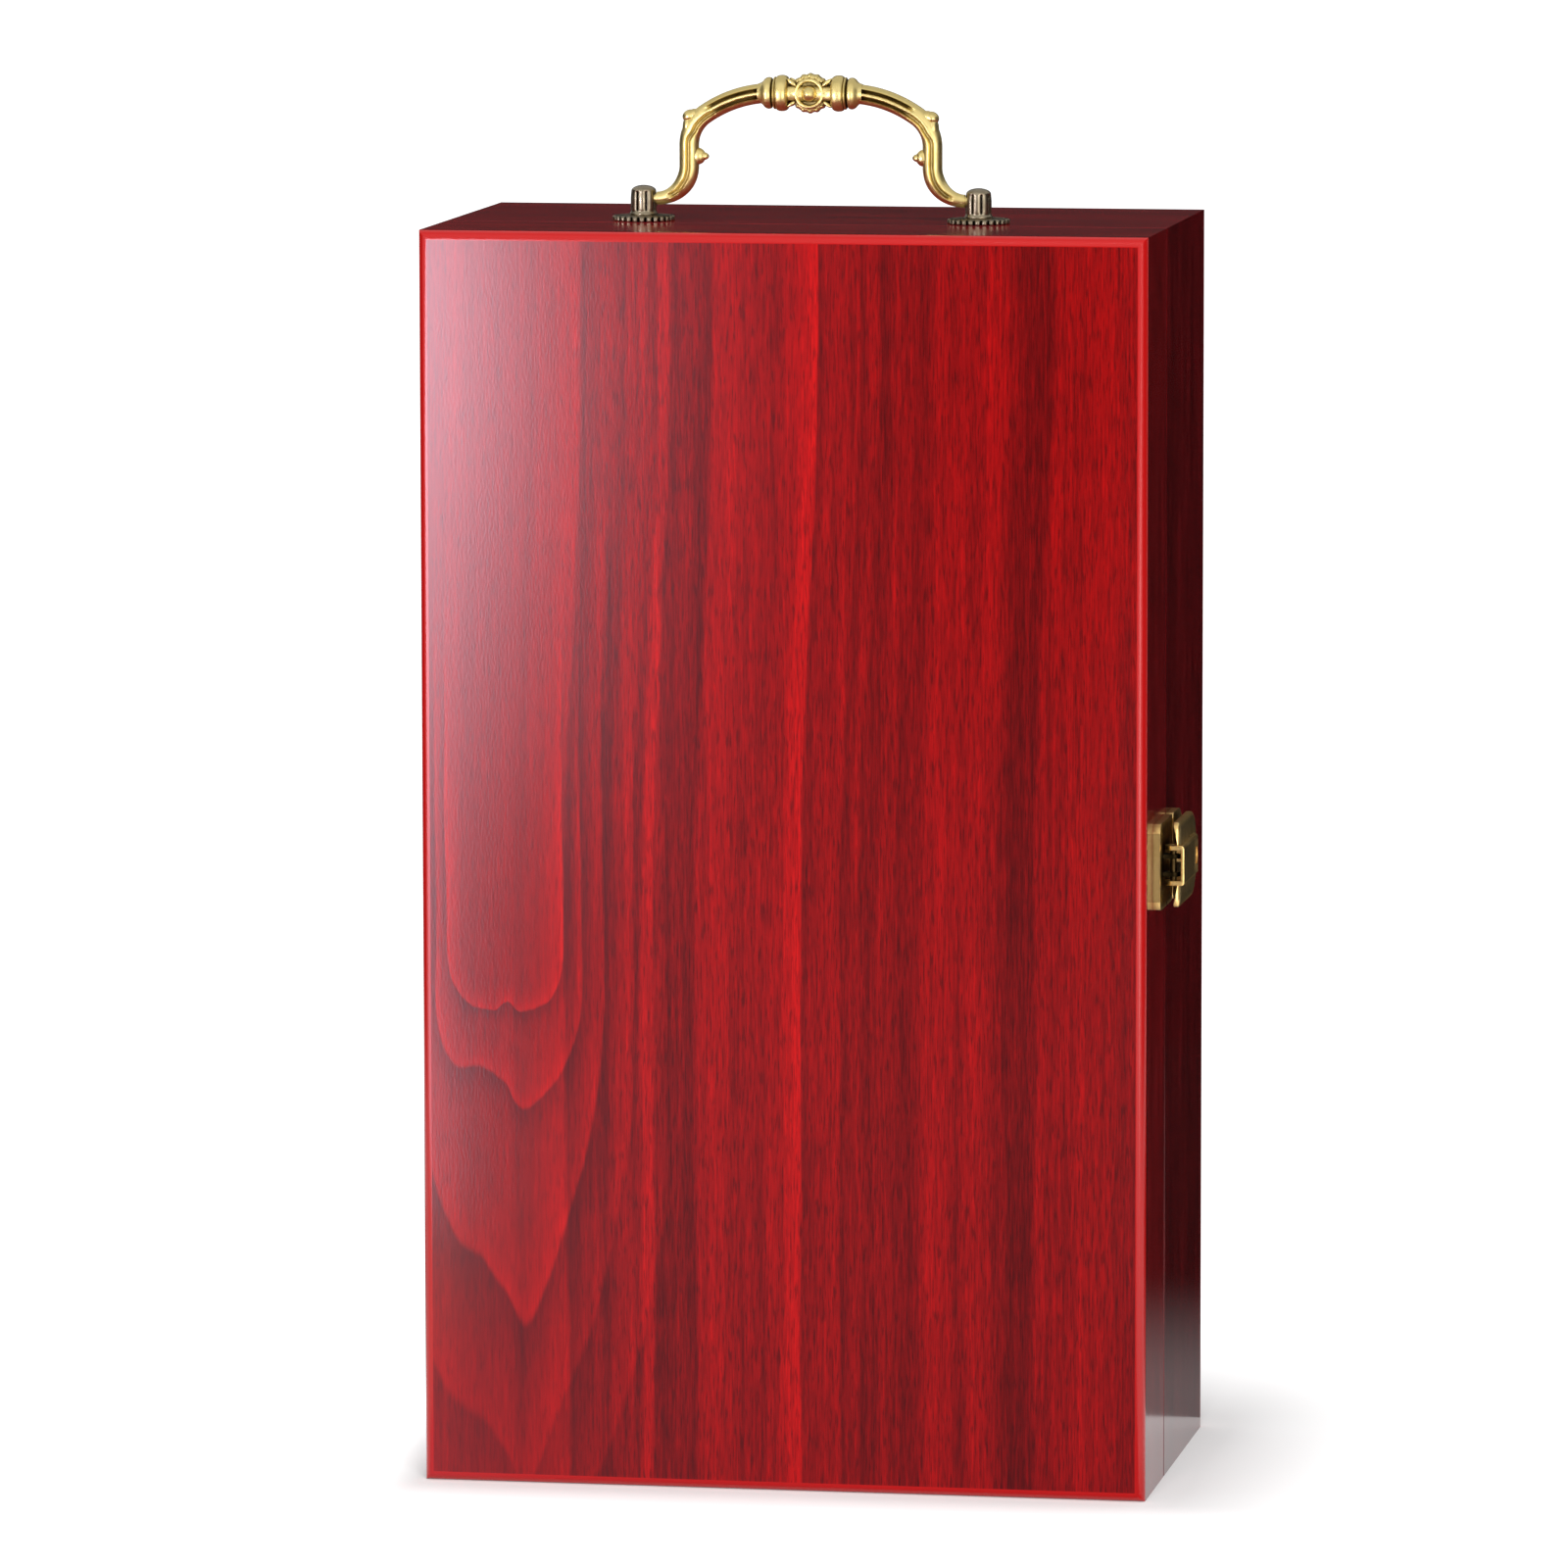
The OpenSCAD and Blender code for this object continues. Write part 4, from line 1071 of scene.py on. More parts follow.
@dataclass
class Latch:
    """The plates, pin, hasp and screws on the latch side.

    A place on it is u back from the seam, v up from the latch's middle and w out from the box's side.
    """

    side_x: float = 103.0
    seam_y: float = -20.0
    middle_z: float = 177.7
    plate: float = 2.1
    rounding: float = 0.35
    pin_u: float = -18.0
    pin_w: float = 4.8
    pin_r: float = 0.9
    pin_half: float = 5.65
    front_u: float = -19.3
    rear_u: float = 16.0
    half_v: float = 12.05
    low_w: float = 4.7
    high_w: float = 6.8
    front_r: float = 2.4
    rear_r: float = 9.5
    rib_half: float = 5.65
    rib_wall: float = 1.4
    rib_roof: float = 1.1
    rib_w: float = 8.2
    rib_fall: float = 1.4
    rib_front_u: float = -20.3
    rib_flat_u: float = 7.9
    rib_rear_u: float = 10.5
    mouth_lip: float = 0.3
    cheek_r: float = 2.3
    cheek_end_u: float = -15.7
    dish_r: float = 40.7
    dish_w: float = -34.2
    lug_v: float = 3.7
    run_gap: float = 0.05
    window_u: float = 4.5
    window_r: float = 2.6
    screw_v: float = 8.85
    lid_screws: tuple[float, float] = (-22.6, -3.6)
    case_screws: tuple[float, float] = (4.5, 15.8)

    def world(self, places: Points) -> Points:
        """Turns places on the latch into places in the CAD frame.

        Args:
            places: rows of u, v, w.

        Returns:
            Rows of x, y, z.
        """
        u, v, w = np.asarray(places, float).T
        return np.stack([self.side_x + w, self.seam_y + u, self.middle_z + v], axis=1)

    def outline(self, inset: float) -> list[tuple[float, float]]:
        """Draws the shield's rounded outline.

        Args:
            inset: how far inside the full outline.

        Returns:
            Its points in u and v.
        """
        corners = ((self.rear_u, 1, self.rear_r, 0), (self.front_u, 1, self.front_r, 90),
                   (self.front_u, -1, self.front_r, 180), (self.rear_u, -1, self.rear_r, 270))
        points = []
        for end, up, radius, start in corners:
            way = 1 if end > 0 else -1
            u, v = end - way * radius, up * (self.half_v - radius)
            r = max(radius - inset, 0.3)
            for step in range(17):
                a = math.radians(start + 90 * step / 16)
                points.append((u + r * math.cos(a), v + r * math.sin(a)))
        return points

    def tube(self, u: float, v: tuple[float, float], w: float, radius: float) -> tuple[Points, Faces]:
        """Makes a round bar that runs along v, with rounded ends.

        Args:
            u: its place back from the seam.
            v: where it starts and ends.
            w: its place out from the box's side.
            radius: its radius.

        Returns:
            The points and faces.
        """
        turn = min(radius, 0.5)
        ends = [(radius - turn + turn * math.cos(a), turn * math.sin(a))
                for a in np.linspace(math.pi / 2, 0, 6)]
        profile = [(0, v[0])] + [(r, v[0] + turn - h) for r, h in ends]
        profile += [(r, v[1] - turn + h) for r, h in reversed(ends)] + [(0, v[1])]
        points, faces = lathe(profile, 32)
        return points + (self.side_x + w, self.seam_y + u, self.middle_z), faces

    def shield(self) -> tuple[Points, Faces]:
        """Makes the hasp's flat shield with a rounded rim.

        Returns:
            The points and faces.
        """
        # Heights in w, and how far the outline is drawn in there
        stack = ((self.low_w, 0.25), (self.low_w + 0.25, 0.0), (5.85, 0.0), (6.2, 0.1), (6.48, 0.36),
                 (6.68, 0.8), (self.high_w, 1.5))
        rings = [self.world([(u, v, w) for u, v in self.outline(inset)]) for w, inset in stack]
        return loft(np.array(rings))

    def rib(self) -> tuple[Points, Faces]:
        """Makes the hollow rib down the hasp's middle, with the two cheeks that the pin goes through.

        Returns:
            The points and faces.
        """
        mouth = [self.rib_front_u, -20.27, -20.18, -20.0, -19.8, -19.5]
        cheeks = [-18.8, -18.0, -17.2, -16.5, -16.0, -15.75, self.cheek_end_u]
        back = [0.0, self.rib_flat_u, 8.6, 9.4, self.rib_rear_u]
        lip_end = self.rib_front_u + self.mouth_lip
        rings = []
        for u in mouth + cheeks + back:
            behind = max(0.0, u - self.rib_flat_u) / (self.rib_rear_u - self.rib_flat_u)
            high = self.rib_w - self.rib_fall * behind
            low = self.pin_w + 0.1
            if u < self.cheek_end_u:
                low = self.pin_w - math.sqrt(max(self.cheek_r ** 2 - (u - self.pin_u) ** 2, 0))
            turn = min(0.9, high - low - 0.2)
            # The rim of the mouth is rounded
            ahead = min(max((lip_end - u) / self.mouth_lip, 0.0), 1.0)
            lip = self.mouth_lip * (1 - math.sqrt(1 - ahead ** 2))
            inner, wall, ceiling = 0.3, self.rib_wall - 2 * lip, self.rib_roof - 2 * lip
            half, high = self.rib_half - lip, high - lip
            outer = [(half - turn + turn * math.cos(a), high - turn + turn * math.sin(a))
                     for a in np.linspace(0, math.pi / 2, 7)]
            side, top = half - wall - inner, high - ceiling - inner
            roof = [(side + inner * math.cos(a), top + inner * math.sin(a))
                    for a in np.linspace(math.pi / 2, 0, 4)]
            right = [(half, low)] + outer
            under = roof + [(half - wall, low)]
            loop = right + [(-v, w) for v, w in reversed(right)]
            loop += [(-v, w) for v, w in reversed(under)] + under
            rings.append(self.world([(u, v, w) for v, w in loop]))
        return loft(np.array(rings))

    def block(self, low: tuple, high: tuple) -> tuple[Points, Faces]:
        """Makes a box that serves as a cutting tool.

        Args:
            low: its lowest corner in u, v and w.
            high: its highest corner.

        Returns:
            The points and faces.
        """
        corners = ((low[0], low[1]), (high[0], low[1]), (high[0], high[1]), (low[0], high[1]))
        rings = [self.world([(u, v, w) for u, v in corners]) for w in (low[2], high[2])]
        return loft(np.array(rings))

    def darken_lugs(self, plate: Object) -> Object:
        """Marks the lid plate's lugs dark, as painted shade inside the hasp's mouth, and its front end half
        dark.

        Args:
            plate: the plate, with its hollows marked.

        Returns:
            The same object.
        """
        limit = (self.side_x + 1.0) * MM
        front = min(vertex.co.y for vertex in plate.data.vertices) + 0.05 * MM
        for vertex, mark in zip(plate.data.vertices, plate.data.attributes["hollow"].data):
            # The lugs inside the hasp's mouth get painted shade
            if vertex.co.x > limit and abs(vertex.co.z - self.middle_z * MM) < self.lug_v * MM:
                mark.value = 0.7
            elif vertex.co.y < front:
                mark.value = 0.32
        return plate

    def hasp(self) -> Object:
        """Builds the folded hasp.

        Returns:
            The object.
        """
        whole = make_piece("hasp_shield", *self.shield())
        hollow = self.rib_half - self.rib_wall
        carve(whole, make_piece("room", *self.block((-22, -hollow, 0), (8.5, hollow, 7.2))))
        # The shield is dished underneath, so that its front edge thins towards the rib
        circle = [(self.dish_r * math.cos(a), self.dish_w + self.dish_r * math.sin(a))
                  for a in np.linspace(0, 2 * math.pi, 145)[:-1]]
        dish = [self.world([(u, v, w) for v, w in circle]) for u in (-22.0, 12.0)]
        carve(whole, make_piece("dish", *loft(np.array(dish))))
        carve(whole, make_piece("rib", *self.rib()), "UNION")
        window, faces = lathe([(self.window_r, -2), (self.window_r, 2)], 48)
        window = self.world(window + (self.window_u, 0, self.rib_w))
        carve(whole, make_piece("window", window, faces))
        hole_r = self.pin_r + self.run_gap
        hole, faces = lathe([(hole_r, -8), (hole_r, 8)], 32)
        hole = hole + (self.side_x + self.pin_w, self.seam_y + self.pin_u, self.middle_z)
        carve(whole, make_piece("pin_hole", hole, faces))
        return smooth(whole, 40)

    def build(self, shop: Shop) -> None:
        """Builds and dresses the pieces.

        Args:
            shop: the frame and the finishes.
        """
        brass = shop.finish(PlatedMetal("antique_brass_latch", "f4ce86", "b48e4a", "1c1509", 0.32, 0.3))
        # The pin sits deep in the hasp's mouth and gets a near black brass as painted shade
        mouth_shade_brass = shop.finish(PlatedMetal("antique_brass_painted_shade", "4a3b22", "2a2012", "120e06", 0.42, 0.5))
        # A reach of 4 mm paints shade into the plates' recesses, and a field of 0.4 paints their flat
        # sideways faces dark as a painted reflection
        for node, body, rolled in (("latch_lid_plate", "lid", 1.2), ("latch_case_plate", "case", 0.0)):
            plate = mark_hollows(shop.soften(node, node + "_stamped", self.rounding, rolled), 4.0, 0.4)
            if body == "lid":
                self.darken_lugs(plate)
            shop.hand_over(plate, body, "latch_brass", brass, node)
        pin = make_piece("latch_pin_domed", *self.tube(
            self.pin_u, (-self.pin_half, self.pin_half), self.pin_w, self.pin_r))
        shop.hand_over(smooth(mark_hollows(pin, 2.0)), "lid", "latch_brass", mouth_shade_brass, "latch_pin")
        # A field of 0.42 paints the hasp's flat sideways faces dark as a painted reflection
        shop.hand_over(mark_hollows(self.hasp(), 2.5, 0.42), "hasp", "latch_brass", brass, "latch_hasp")
        tree = screw_tree()
        bright = shop.finish(
            PlatedMetal("antique_brass_screw", "b8974e", "6a5626", "171006", 0.36, 0.5, False))
        for node, body, places in (
                ("latch_lid_screws", "lid", self.lid_screws),
                ("latch_case_screws", "case", self.case_screws)):
            seats = [(u, v * self.screw_v, self.plate) for u in places for v in (-1, 1)]
            screws = make_piece(node + "_cross_head", self.world(seats), [])
            grow(screws, tree, {"Aim": (0, math.pi / 2, 0), "Finish": bright})
            shop.hand_over(smooth(screws), body, "latch_brass", None, node)


@dataclass
class Handle:
    """The swing handle: two roses, two fluted posts, their nuts and the cast bail."""

    span: float = 96.0
    middle_y: float = -10.0
    top_z: float = 355.0
    rose_r: float = 8.9
    rose_t: float = 1.5
    scallops: int = 26
    flutes: int = 8
    post_h: float = 10.0
    foot_r: float = 3.95
    post_r: float = 3.72
    crown_r: float = 3.55
    cap: float = 1.7
    stud_r: float = 1.5
    stud_low: float = -8.6
    pivot_z: float = 6.3
    pivot_r: float = 1.4
    pivot_x: tuple[float, float] = (43.6, 48.4)
    run_gap: float = 0.05
    foot_x: float = -44.15
    bend_r: float = 9.3
    arm_x: float = -34.85
    arm_top: float = 21.5
    shoulder: tuple[float, float, float] = (-24.35, 21.5, 10.5)
    arch: tuple[float, float, float] = (-10.6, 1.86, 34.47)
    turn_angle: float = 125.0
    bail_r: float = 2.8
    bail_foot_r: float = 1.85
    depth: float = 0.93
    grip_z: float = 36.33
    grip: tuple[tuple[float, float], ...] = (
        (-14.9, 2.70), (-14.1, 2.95), (-13.5, 3.45), (-13.0, 4.05), (-12.4, 4.42), (-11.8, 4.5),
        (-11.2, 4.38), (-10.85, 4.0), (-10.7, 3.5), (-10.62, 3.5), (-10.5, 4.1), (-10.3, 4.5),
        (-10.05, 4.62), (-9.85, 4.5), (-9.75, 4.3), (-9.65, 4.55), (-9.4, 4.85), (-8.9, 5.06),
        (-8.2, 5.14), (-7.5, 5.1), (-6.9, 4.9), (-6.5, 4.6), (-6.25, 4.1), (-6.15, 3.2), (-6.0, 3.1),
        (0.0, 3.1))
    rosette_r: float = 5.8
    petals: int = 16
    petal_circle: float = 4.85
    petal: Place = (0.92, 0.92, 2.3)

    def rose(self, way: int, tree: NodeTree) -> Object:
        """Builds a washer with a scalloped rim.

        Args:
            way: -1 for the left and 1 for the right.
            tree: the tree that presses the scallops.

        Returns:
            The object.
        """
        inner, high = self.stud_r + self.run_gap, self.rose_t
        # In from the rim, and up: a rounded rim, a flat, a groove and a raised middle
        steps = ((0.15, 0.0), (0.0, 0.15), (0.0, 0.4), (0.0, 0.75), (0.0, 1.05), (0.15, 1.28),
                 (0.5, 1.42), (1.3, 1.42), (1.45, 1.25), (1.65, 1.42), (2.2, 1.48), (2.9, high))
        profile = [(inner, 0.05)] + [(self.rose_r - inset, up) for inset, up in steps] + [(inner, high)]
        size = self.scallops * 10
        points, faces = lathe(profile, size)
        # The washer has a bore in place of the two caps
        faces = faces[:-2]
        last = (len(profile) - 1) * size
        faces += [[last + k, last + (k + 1) % size, (k + 1) % size, k] for k in range(size)]
        rose = make_piece("handle_rose", points, faces)
        grow(rose, tree, {
            "Count": float(self.scallops), "Depth": 0.85 * MM, "Sharpness": 0.6, "Radial": 1.0,
            "From": (self.rose_r - 1.7) * MM, "To": 1.0, "Fade": 1.5 * MM,
            "Place": (way * self.span / 2 * MM, self.middle_y * MM, self.top_z * MM)})
        return smooth(rose, 50)

    def post(self, way: int, tree: NodeTree) -> Object:
        """Builds a fluted post with a domed top, its stud, and the hole for the bail's pivot.

        Args:
            way: -1 for the left and 1 for the right.
            tree: the tree that presses the flutes.

        Returns:
            The object.
        """
        top = self.post_h - self.cap
        profile = [(0, self.stud_low), (self.stud_r - 0.3, self.stud_low), (self.stud_r, self.stud_low + 0.3),
                   (self.stud_r, 1.4), (self.stud_r, self.rose_t), (self.foot_r - 0.1, self.rose_t),
                   (self.foot_r, self.rose_t + 0.12), (self.foot_r, 2.1), (self.foot_r - 0.12, 2.25),
                   (self.post_r - 0.05, 2.5), (self.post_r - 0.1, 2.75)]
        profile += [(self.post_r, z) for z in np.linspace(3.1, self.pivot_z, 8)]
        profile += [(self.post_r + (self.crown_r - self.post_r) * t, self.pivot_z + (top - self.pivot_z) * t)
                    for t in np.linspace(0.15, 1, 6)]
        profile += [(self.crown_r * math.cos(a), top + self.cap * math.sin(a))
                    for a in np.linspace(0.12, math.pi / 2, 12)]
        post = make_piece("handle_post", *lathe(profile, 128))
        grow(post, tree, {
            "Count": float(self.flutes), "Depth": 0.6 * MM, "Sharpness": 0.36, "Radial": 0.0,
            "From": 2.6 * MM, "To": (top + 0.35) * MM, "Fade": 0.55 * MM,
            "Place": (way * self.span / 2 * MM, self.middle_y * MM, self.top_z * MM)})
        hole_r = self.pivot_r + self.run_gap
        hole, faces = lathe([(hole_r, -1.0), (hole_r, 6.0)], 32)
        hole = np.stack([way * (self.span / 2 - hole[:, 2]), self.middle_y + hole[:, 0],
                         self.top_z + self.pivot_z + hole[:, 1]], axis=1)
        carve(post, make_piece("pivot_hole", hole, faces))
        return smooth(post, 50)

    def bail_line(self) -> list[tuple[float, float, float, float, float]]:
        """Follows the left half of the bail from its foot to the grip.

        Returns:
            For each step the place in x and z, the direction in x and z, and the way along.
        """
        foot_z = self.pivot_z + self.bend_r
        line = [[self.foot_x, self.pivot_z, 1.0, 0.0]]
        line += arc((self.foot_x, foot_z), self.bend_r, -89, 0, 48)
        line += [[self.arm_x, z, 0.0, 1.0] for z in np.linspace(foot_z + 0.3, self.arm_top - 0.1, 18)]
        line += arc(self.shoulder[:2], self.shoulder[2], 180, self.turn_angle, 34)
        line += arc(self.arch[:2], self.arch[2], self.turn_angle - 0.6, 90.3, 70)
        line += [[x, self.grip_z, 1.0, 0.0] for x in np.linspace(-10.3, 0.0, 12)]
        run = 0.0
        for before, step in zip([line[0]] + line, line):
            run += math.hypot(step[0] - before[0], step[1] - before[1])
            step.append(run)
        return line

    def bail_half(self, way: int) -> tuple[Points, Faces]:
        """Sweeps one arm and half the arch, with the grooves that part its strands.

        Args:
            way: -1 for the left half and 1 for the right.

        Returns:
            The points and faces.
        """
        sides = 128
        bend_end = math.pi / 2 * self.bend_r
        rings = []
        for x, z, dx, dz, run in self.bail_line():
            r = self.bail_foot_r + (self.bail_r - self.bail_foot_r) * fade(run, 0.0, bend_end * 0.8)
            # The arm is slimmer beside the collar of the grip
            r *= 1 - 0.04 * fade(run, 47.0, 55.0)
            close = 1 - fade(run, 55.0, 57.0)
            # One groove parts two strands on the arm, and a second starts past the shoulder. Each has
            # its place across as a share of the radius, its depth in millimetres and half its width
            first = (0.32 * fade(run, 21.5, 25.0), 1.2 * fade(run, 3.0, 5.0) * close,
                     0.85 - 0.2 * fade(run, 31.5, 35.0))
            second = (-0.36, 1.2 * fade(run, 31.0, 34.0) * close, 0.65)
            ring = []
            for k in range(sides):
                a = 2 * math.pi * k / sides
                n, y = r * math.cos(a), r * self.depth * math.sin(a)
                cut = 0.0
                for at, deep, half in (first, second):
                    across = min(abs(n - at * r) / half, 1.0)
                    cut = max(cut, deep * math.cos(across * math.pi / 2) ** 1.3)
                y = math.copysign(max(abs(y) - cut, 0.1), y)
                ring.append((-way * (x + n * dz), y, z - n * dx))
            rings.append(ring)
        return loft(np.array(rings))

    def turned_grip(self) -> tuple[Points, Faces]:
        """Turns the beads of the grip about the X axis.

        Returns:
            The points and faces.
        """
        end = self.grip[0][0]
        profile = [(0, end)] + [(r, x) for x, r in self.grip]
        profile += [(r, -x) for x, r in self.grip[-2::-1]] + [(0, -end)]
        points, faces = lathe(profile, 72)
        return np.stack([points[:, 2], points[:, 0], points[:, 1] + self.grip_z], axis=1), faces

    def facing(self, profile: list[tuple[float, float]], sides: int = 64) -> tuple[Points, Faces]:
        """Turns a profile about the front to back axis of the grip's ornament.

        Args:
            profile: radius and depth of each step.
            sides: steps round the axis.

        Returns:
            The points and faces.
        """
        points, faces = lathe(profile, sides)
        return np.stack([points[:, 0], points[:, 2], points[:, 1] + self.grip_z], axis=1), faces

    def ornament(self) -> list[tuple[Points, Faces]]:
        """Makes the round ornament on the grip: a disc, and on both faces a ring, a button and lines.

        Returns:
            The points and faces of each shell.
        """
        r = self.rosette_r
        disc = [(0, -2.15), (r - 1.5, -2.15), (r - 0.9, -1.95), (r - 0.5, -1.6), (r - 0.38, -1.2)]
        ring = [(0, 0.4), (4.4, 0.4), (4.4, 2.3), (4.32, 2.75), (4.12, 3.08), (3.8, 3.2), (3.48, 3.08),
                (3.28, 2.78), (3.15, 2.3), (3.0, 2.0), (0, 2.0)]
        button = [(0, 1.0), (2.2, 1.0), (2.3, 2.3), (2.28, 2.9), (2.05, 3.55), (1.6, 4.15), (1.0, 4.65),
                  (0.45, 4.95), (0, 5.08)]
        # Bars from the ring to the beads, and leaf lines above and below: place in x and z, half
        # length, half width and slope
        lines = ((-5.4, 0.0, 1.5, 0.55, 0), (5.4, 0.0, 1.5, 0.55, 0), (-5.0, 3.1, 1.7, 0.6, 38),
                 (-5.2, -3.0, 1.5, 0.55, -34), (5.0, 3.1, 1.7, 0.6, -38), (5.2, -3.0, 1.5, 0.55, 34))
        shells = [self.facing(disc + [(radius, -y) for radius, y in reversed(disc)], 96)]
        for face in (-1, 1):
            shells.append(self.facing([(radius, face * y) for radius, y in ring], 96))
            shells.append(self.facing([(radius, face * y) for radius, y in button], 56))
            for x, up, long, wide, angle in lines:
                shells.append(ball((x, face * 2.35, self.grip_z + up), (long, 0.62, wide), angle))
        return shells

    def buds(self, way: int) -> list[tuple[Points, Faces]]:
        """Makes the buds and the pivot pin of one arm.

        Args:
            way: -1 for the left arm and 1 for the right.

        Returns:
            The points and faces of each shell.
        """
        # A thumb leans out at the shoulder, and a leaf with a pointed tip grows inwards lower down
        shells = [ball((way * x, 0, up), radii, way * turn) for x, up, radii, turn in (
            (34.7, 29.7, (2.1, 2.3, 1.75), 25), (33.6, 30.1, (1.8, 2.1, 1.5), 35),
            (35.1, 26.8, (1.6, 2.3, 3.2), -3), (32.3, 18.3, (2.2, 1.9, 2.4), 0),
            (31.0, 18.3, (1.9, 1.3, 1.2), 0))]
        start, stop = self.pivot_x
        pin, faces = lathe([(0, start), (self.pivot_r, start), (self.pivot_r, stop - 0.3),
                            (self.pivot_r - 0.3, stop), (0, stop)], 32)
        pin = np.stack([way * pin[:, 2], pin[:, 0], pin[:, 1] + self.pivot_z], axis=1)
        return shells + [(pin, faces)]

    def bail(self) -> Object:
        """Builds the cast bail with its grip, ornament, buds and pivots.

        Returns:
            The object.
        """
        shells = [self.turned_grip(), self.bail_half(-1), self.bail_half(1)]
        shells += self.ornament() + self.buds(-1) + self.buds(1)
        moved = [(points + (0, self.middle_y, self.top_z), faces) for points, faces in shells]
        whole = fuse("bail_cast", moved)
        petals = make_piece("petals", [(0, 0, 0)], [])
        grow(petals, petal_tree(), {
            "Count": self.petals, "Circle": self.petal_circle * MM,
            "Petal": tuple(size * MM for size in self.petal),
            "Place": (0.0, self.middle_y * MM, (self.top_z + self.grip_z) * MM)})
        carve(whole, petals, "UNION")
        return smooth(whole, 50)

    def build(self, shop: Shop) -> None:
        """Builds and dresses the pieces.

        Args:
            shop: the frame and the finishes.
        """
        bronze = shop.finish(PlatedMetal("antique_nickel_bronze", "a0937c", "6b5f4a", "1a140c", 0.3, 0.4))
        gilt = shop.finish(PlatedMetal("cast_gilded_brass", "ecd68f", "c4ab60", "523e18", 0.36, 0.3))
        zinc = shop.finish(PlatedMetal("zinc_plated_steel", "bcbfc2", "8f9296", "44464a", 0.35, 0.4, False))
        tree = flute_tree()
        for way, side in ((-1, "left"), (1, "right")):
            for kind, piece in (("rose", self.rose(way, tree)), ("post", self.post(way, tree))):
                piece.name = f"{kind}_{side}_cast"
                shop.hand_over(piece, "case", "post_bronze", bronze, f"handle_{kind}_{side}")
        nuts = shop.soften("handle_nuts", "nuts_hexagonal", 0.3)
        shop.hand_over(nuts, "case", "nut_steel", zinc, "handle_nuts")
        shop.hand_over(mark_hollows(self.bail(), 1.6), "handle", "bail_brass", gilt, "handle_bail")


def standing(start: Place, end: Place) -> list[Place]:
    """Finds the corners of an upright card.

    Args:
        start: its low corner on one side.
        end: its high corner on the other side.

    Returns:
        The four corners, in order round it.
    """
    return [start, (end[0], end[1], start[2]), end, (start[0], start[1], end[2])]


def lying(start: Place, end: Place) -> list[Place]:
    """Finds the corners of a level card.

    Args:
        start: its corner at the front left.
        end: its corner at the back right.

    Returns:
        The four corners, in order round it.
    """
    return [start, (end[0], start[1], start[2]), end, (start[0], end[1], start[2])]


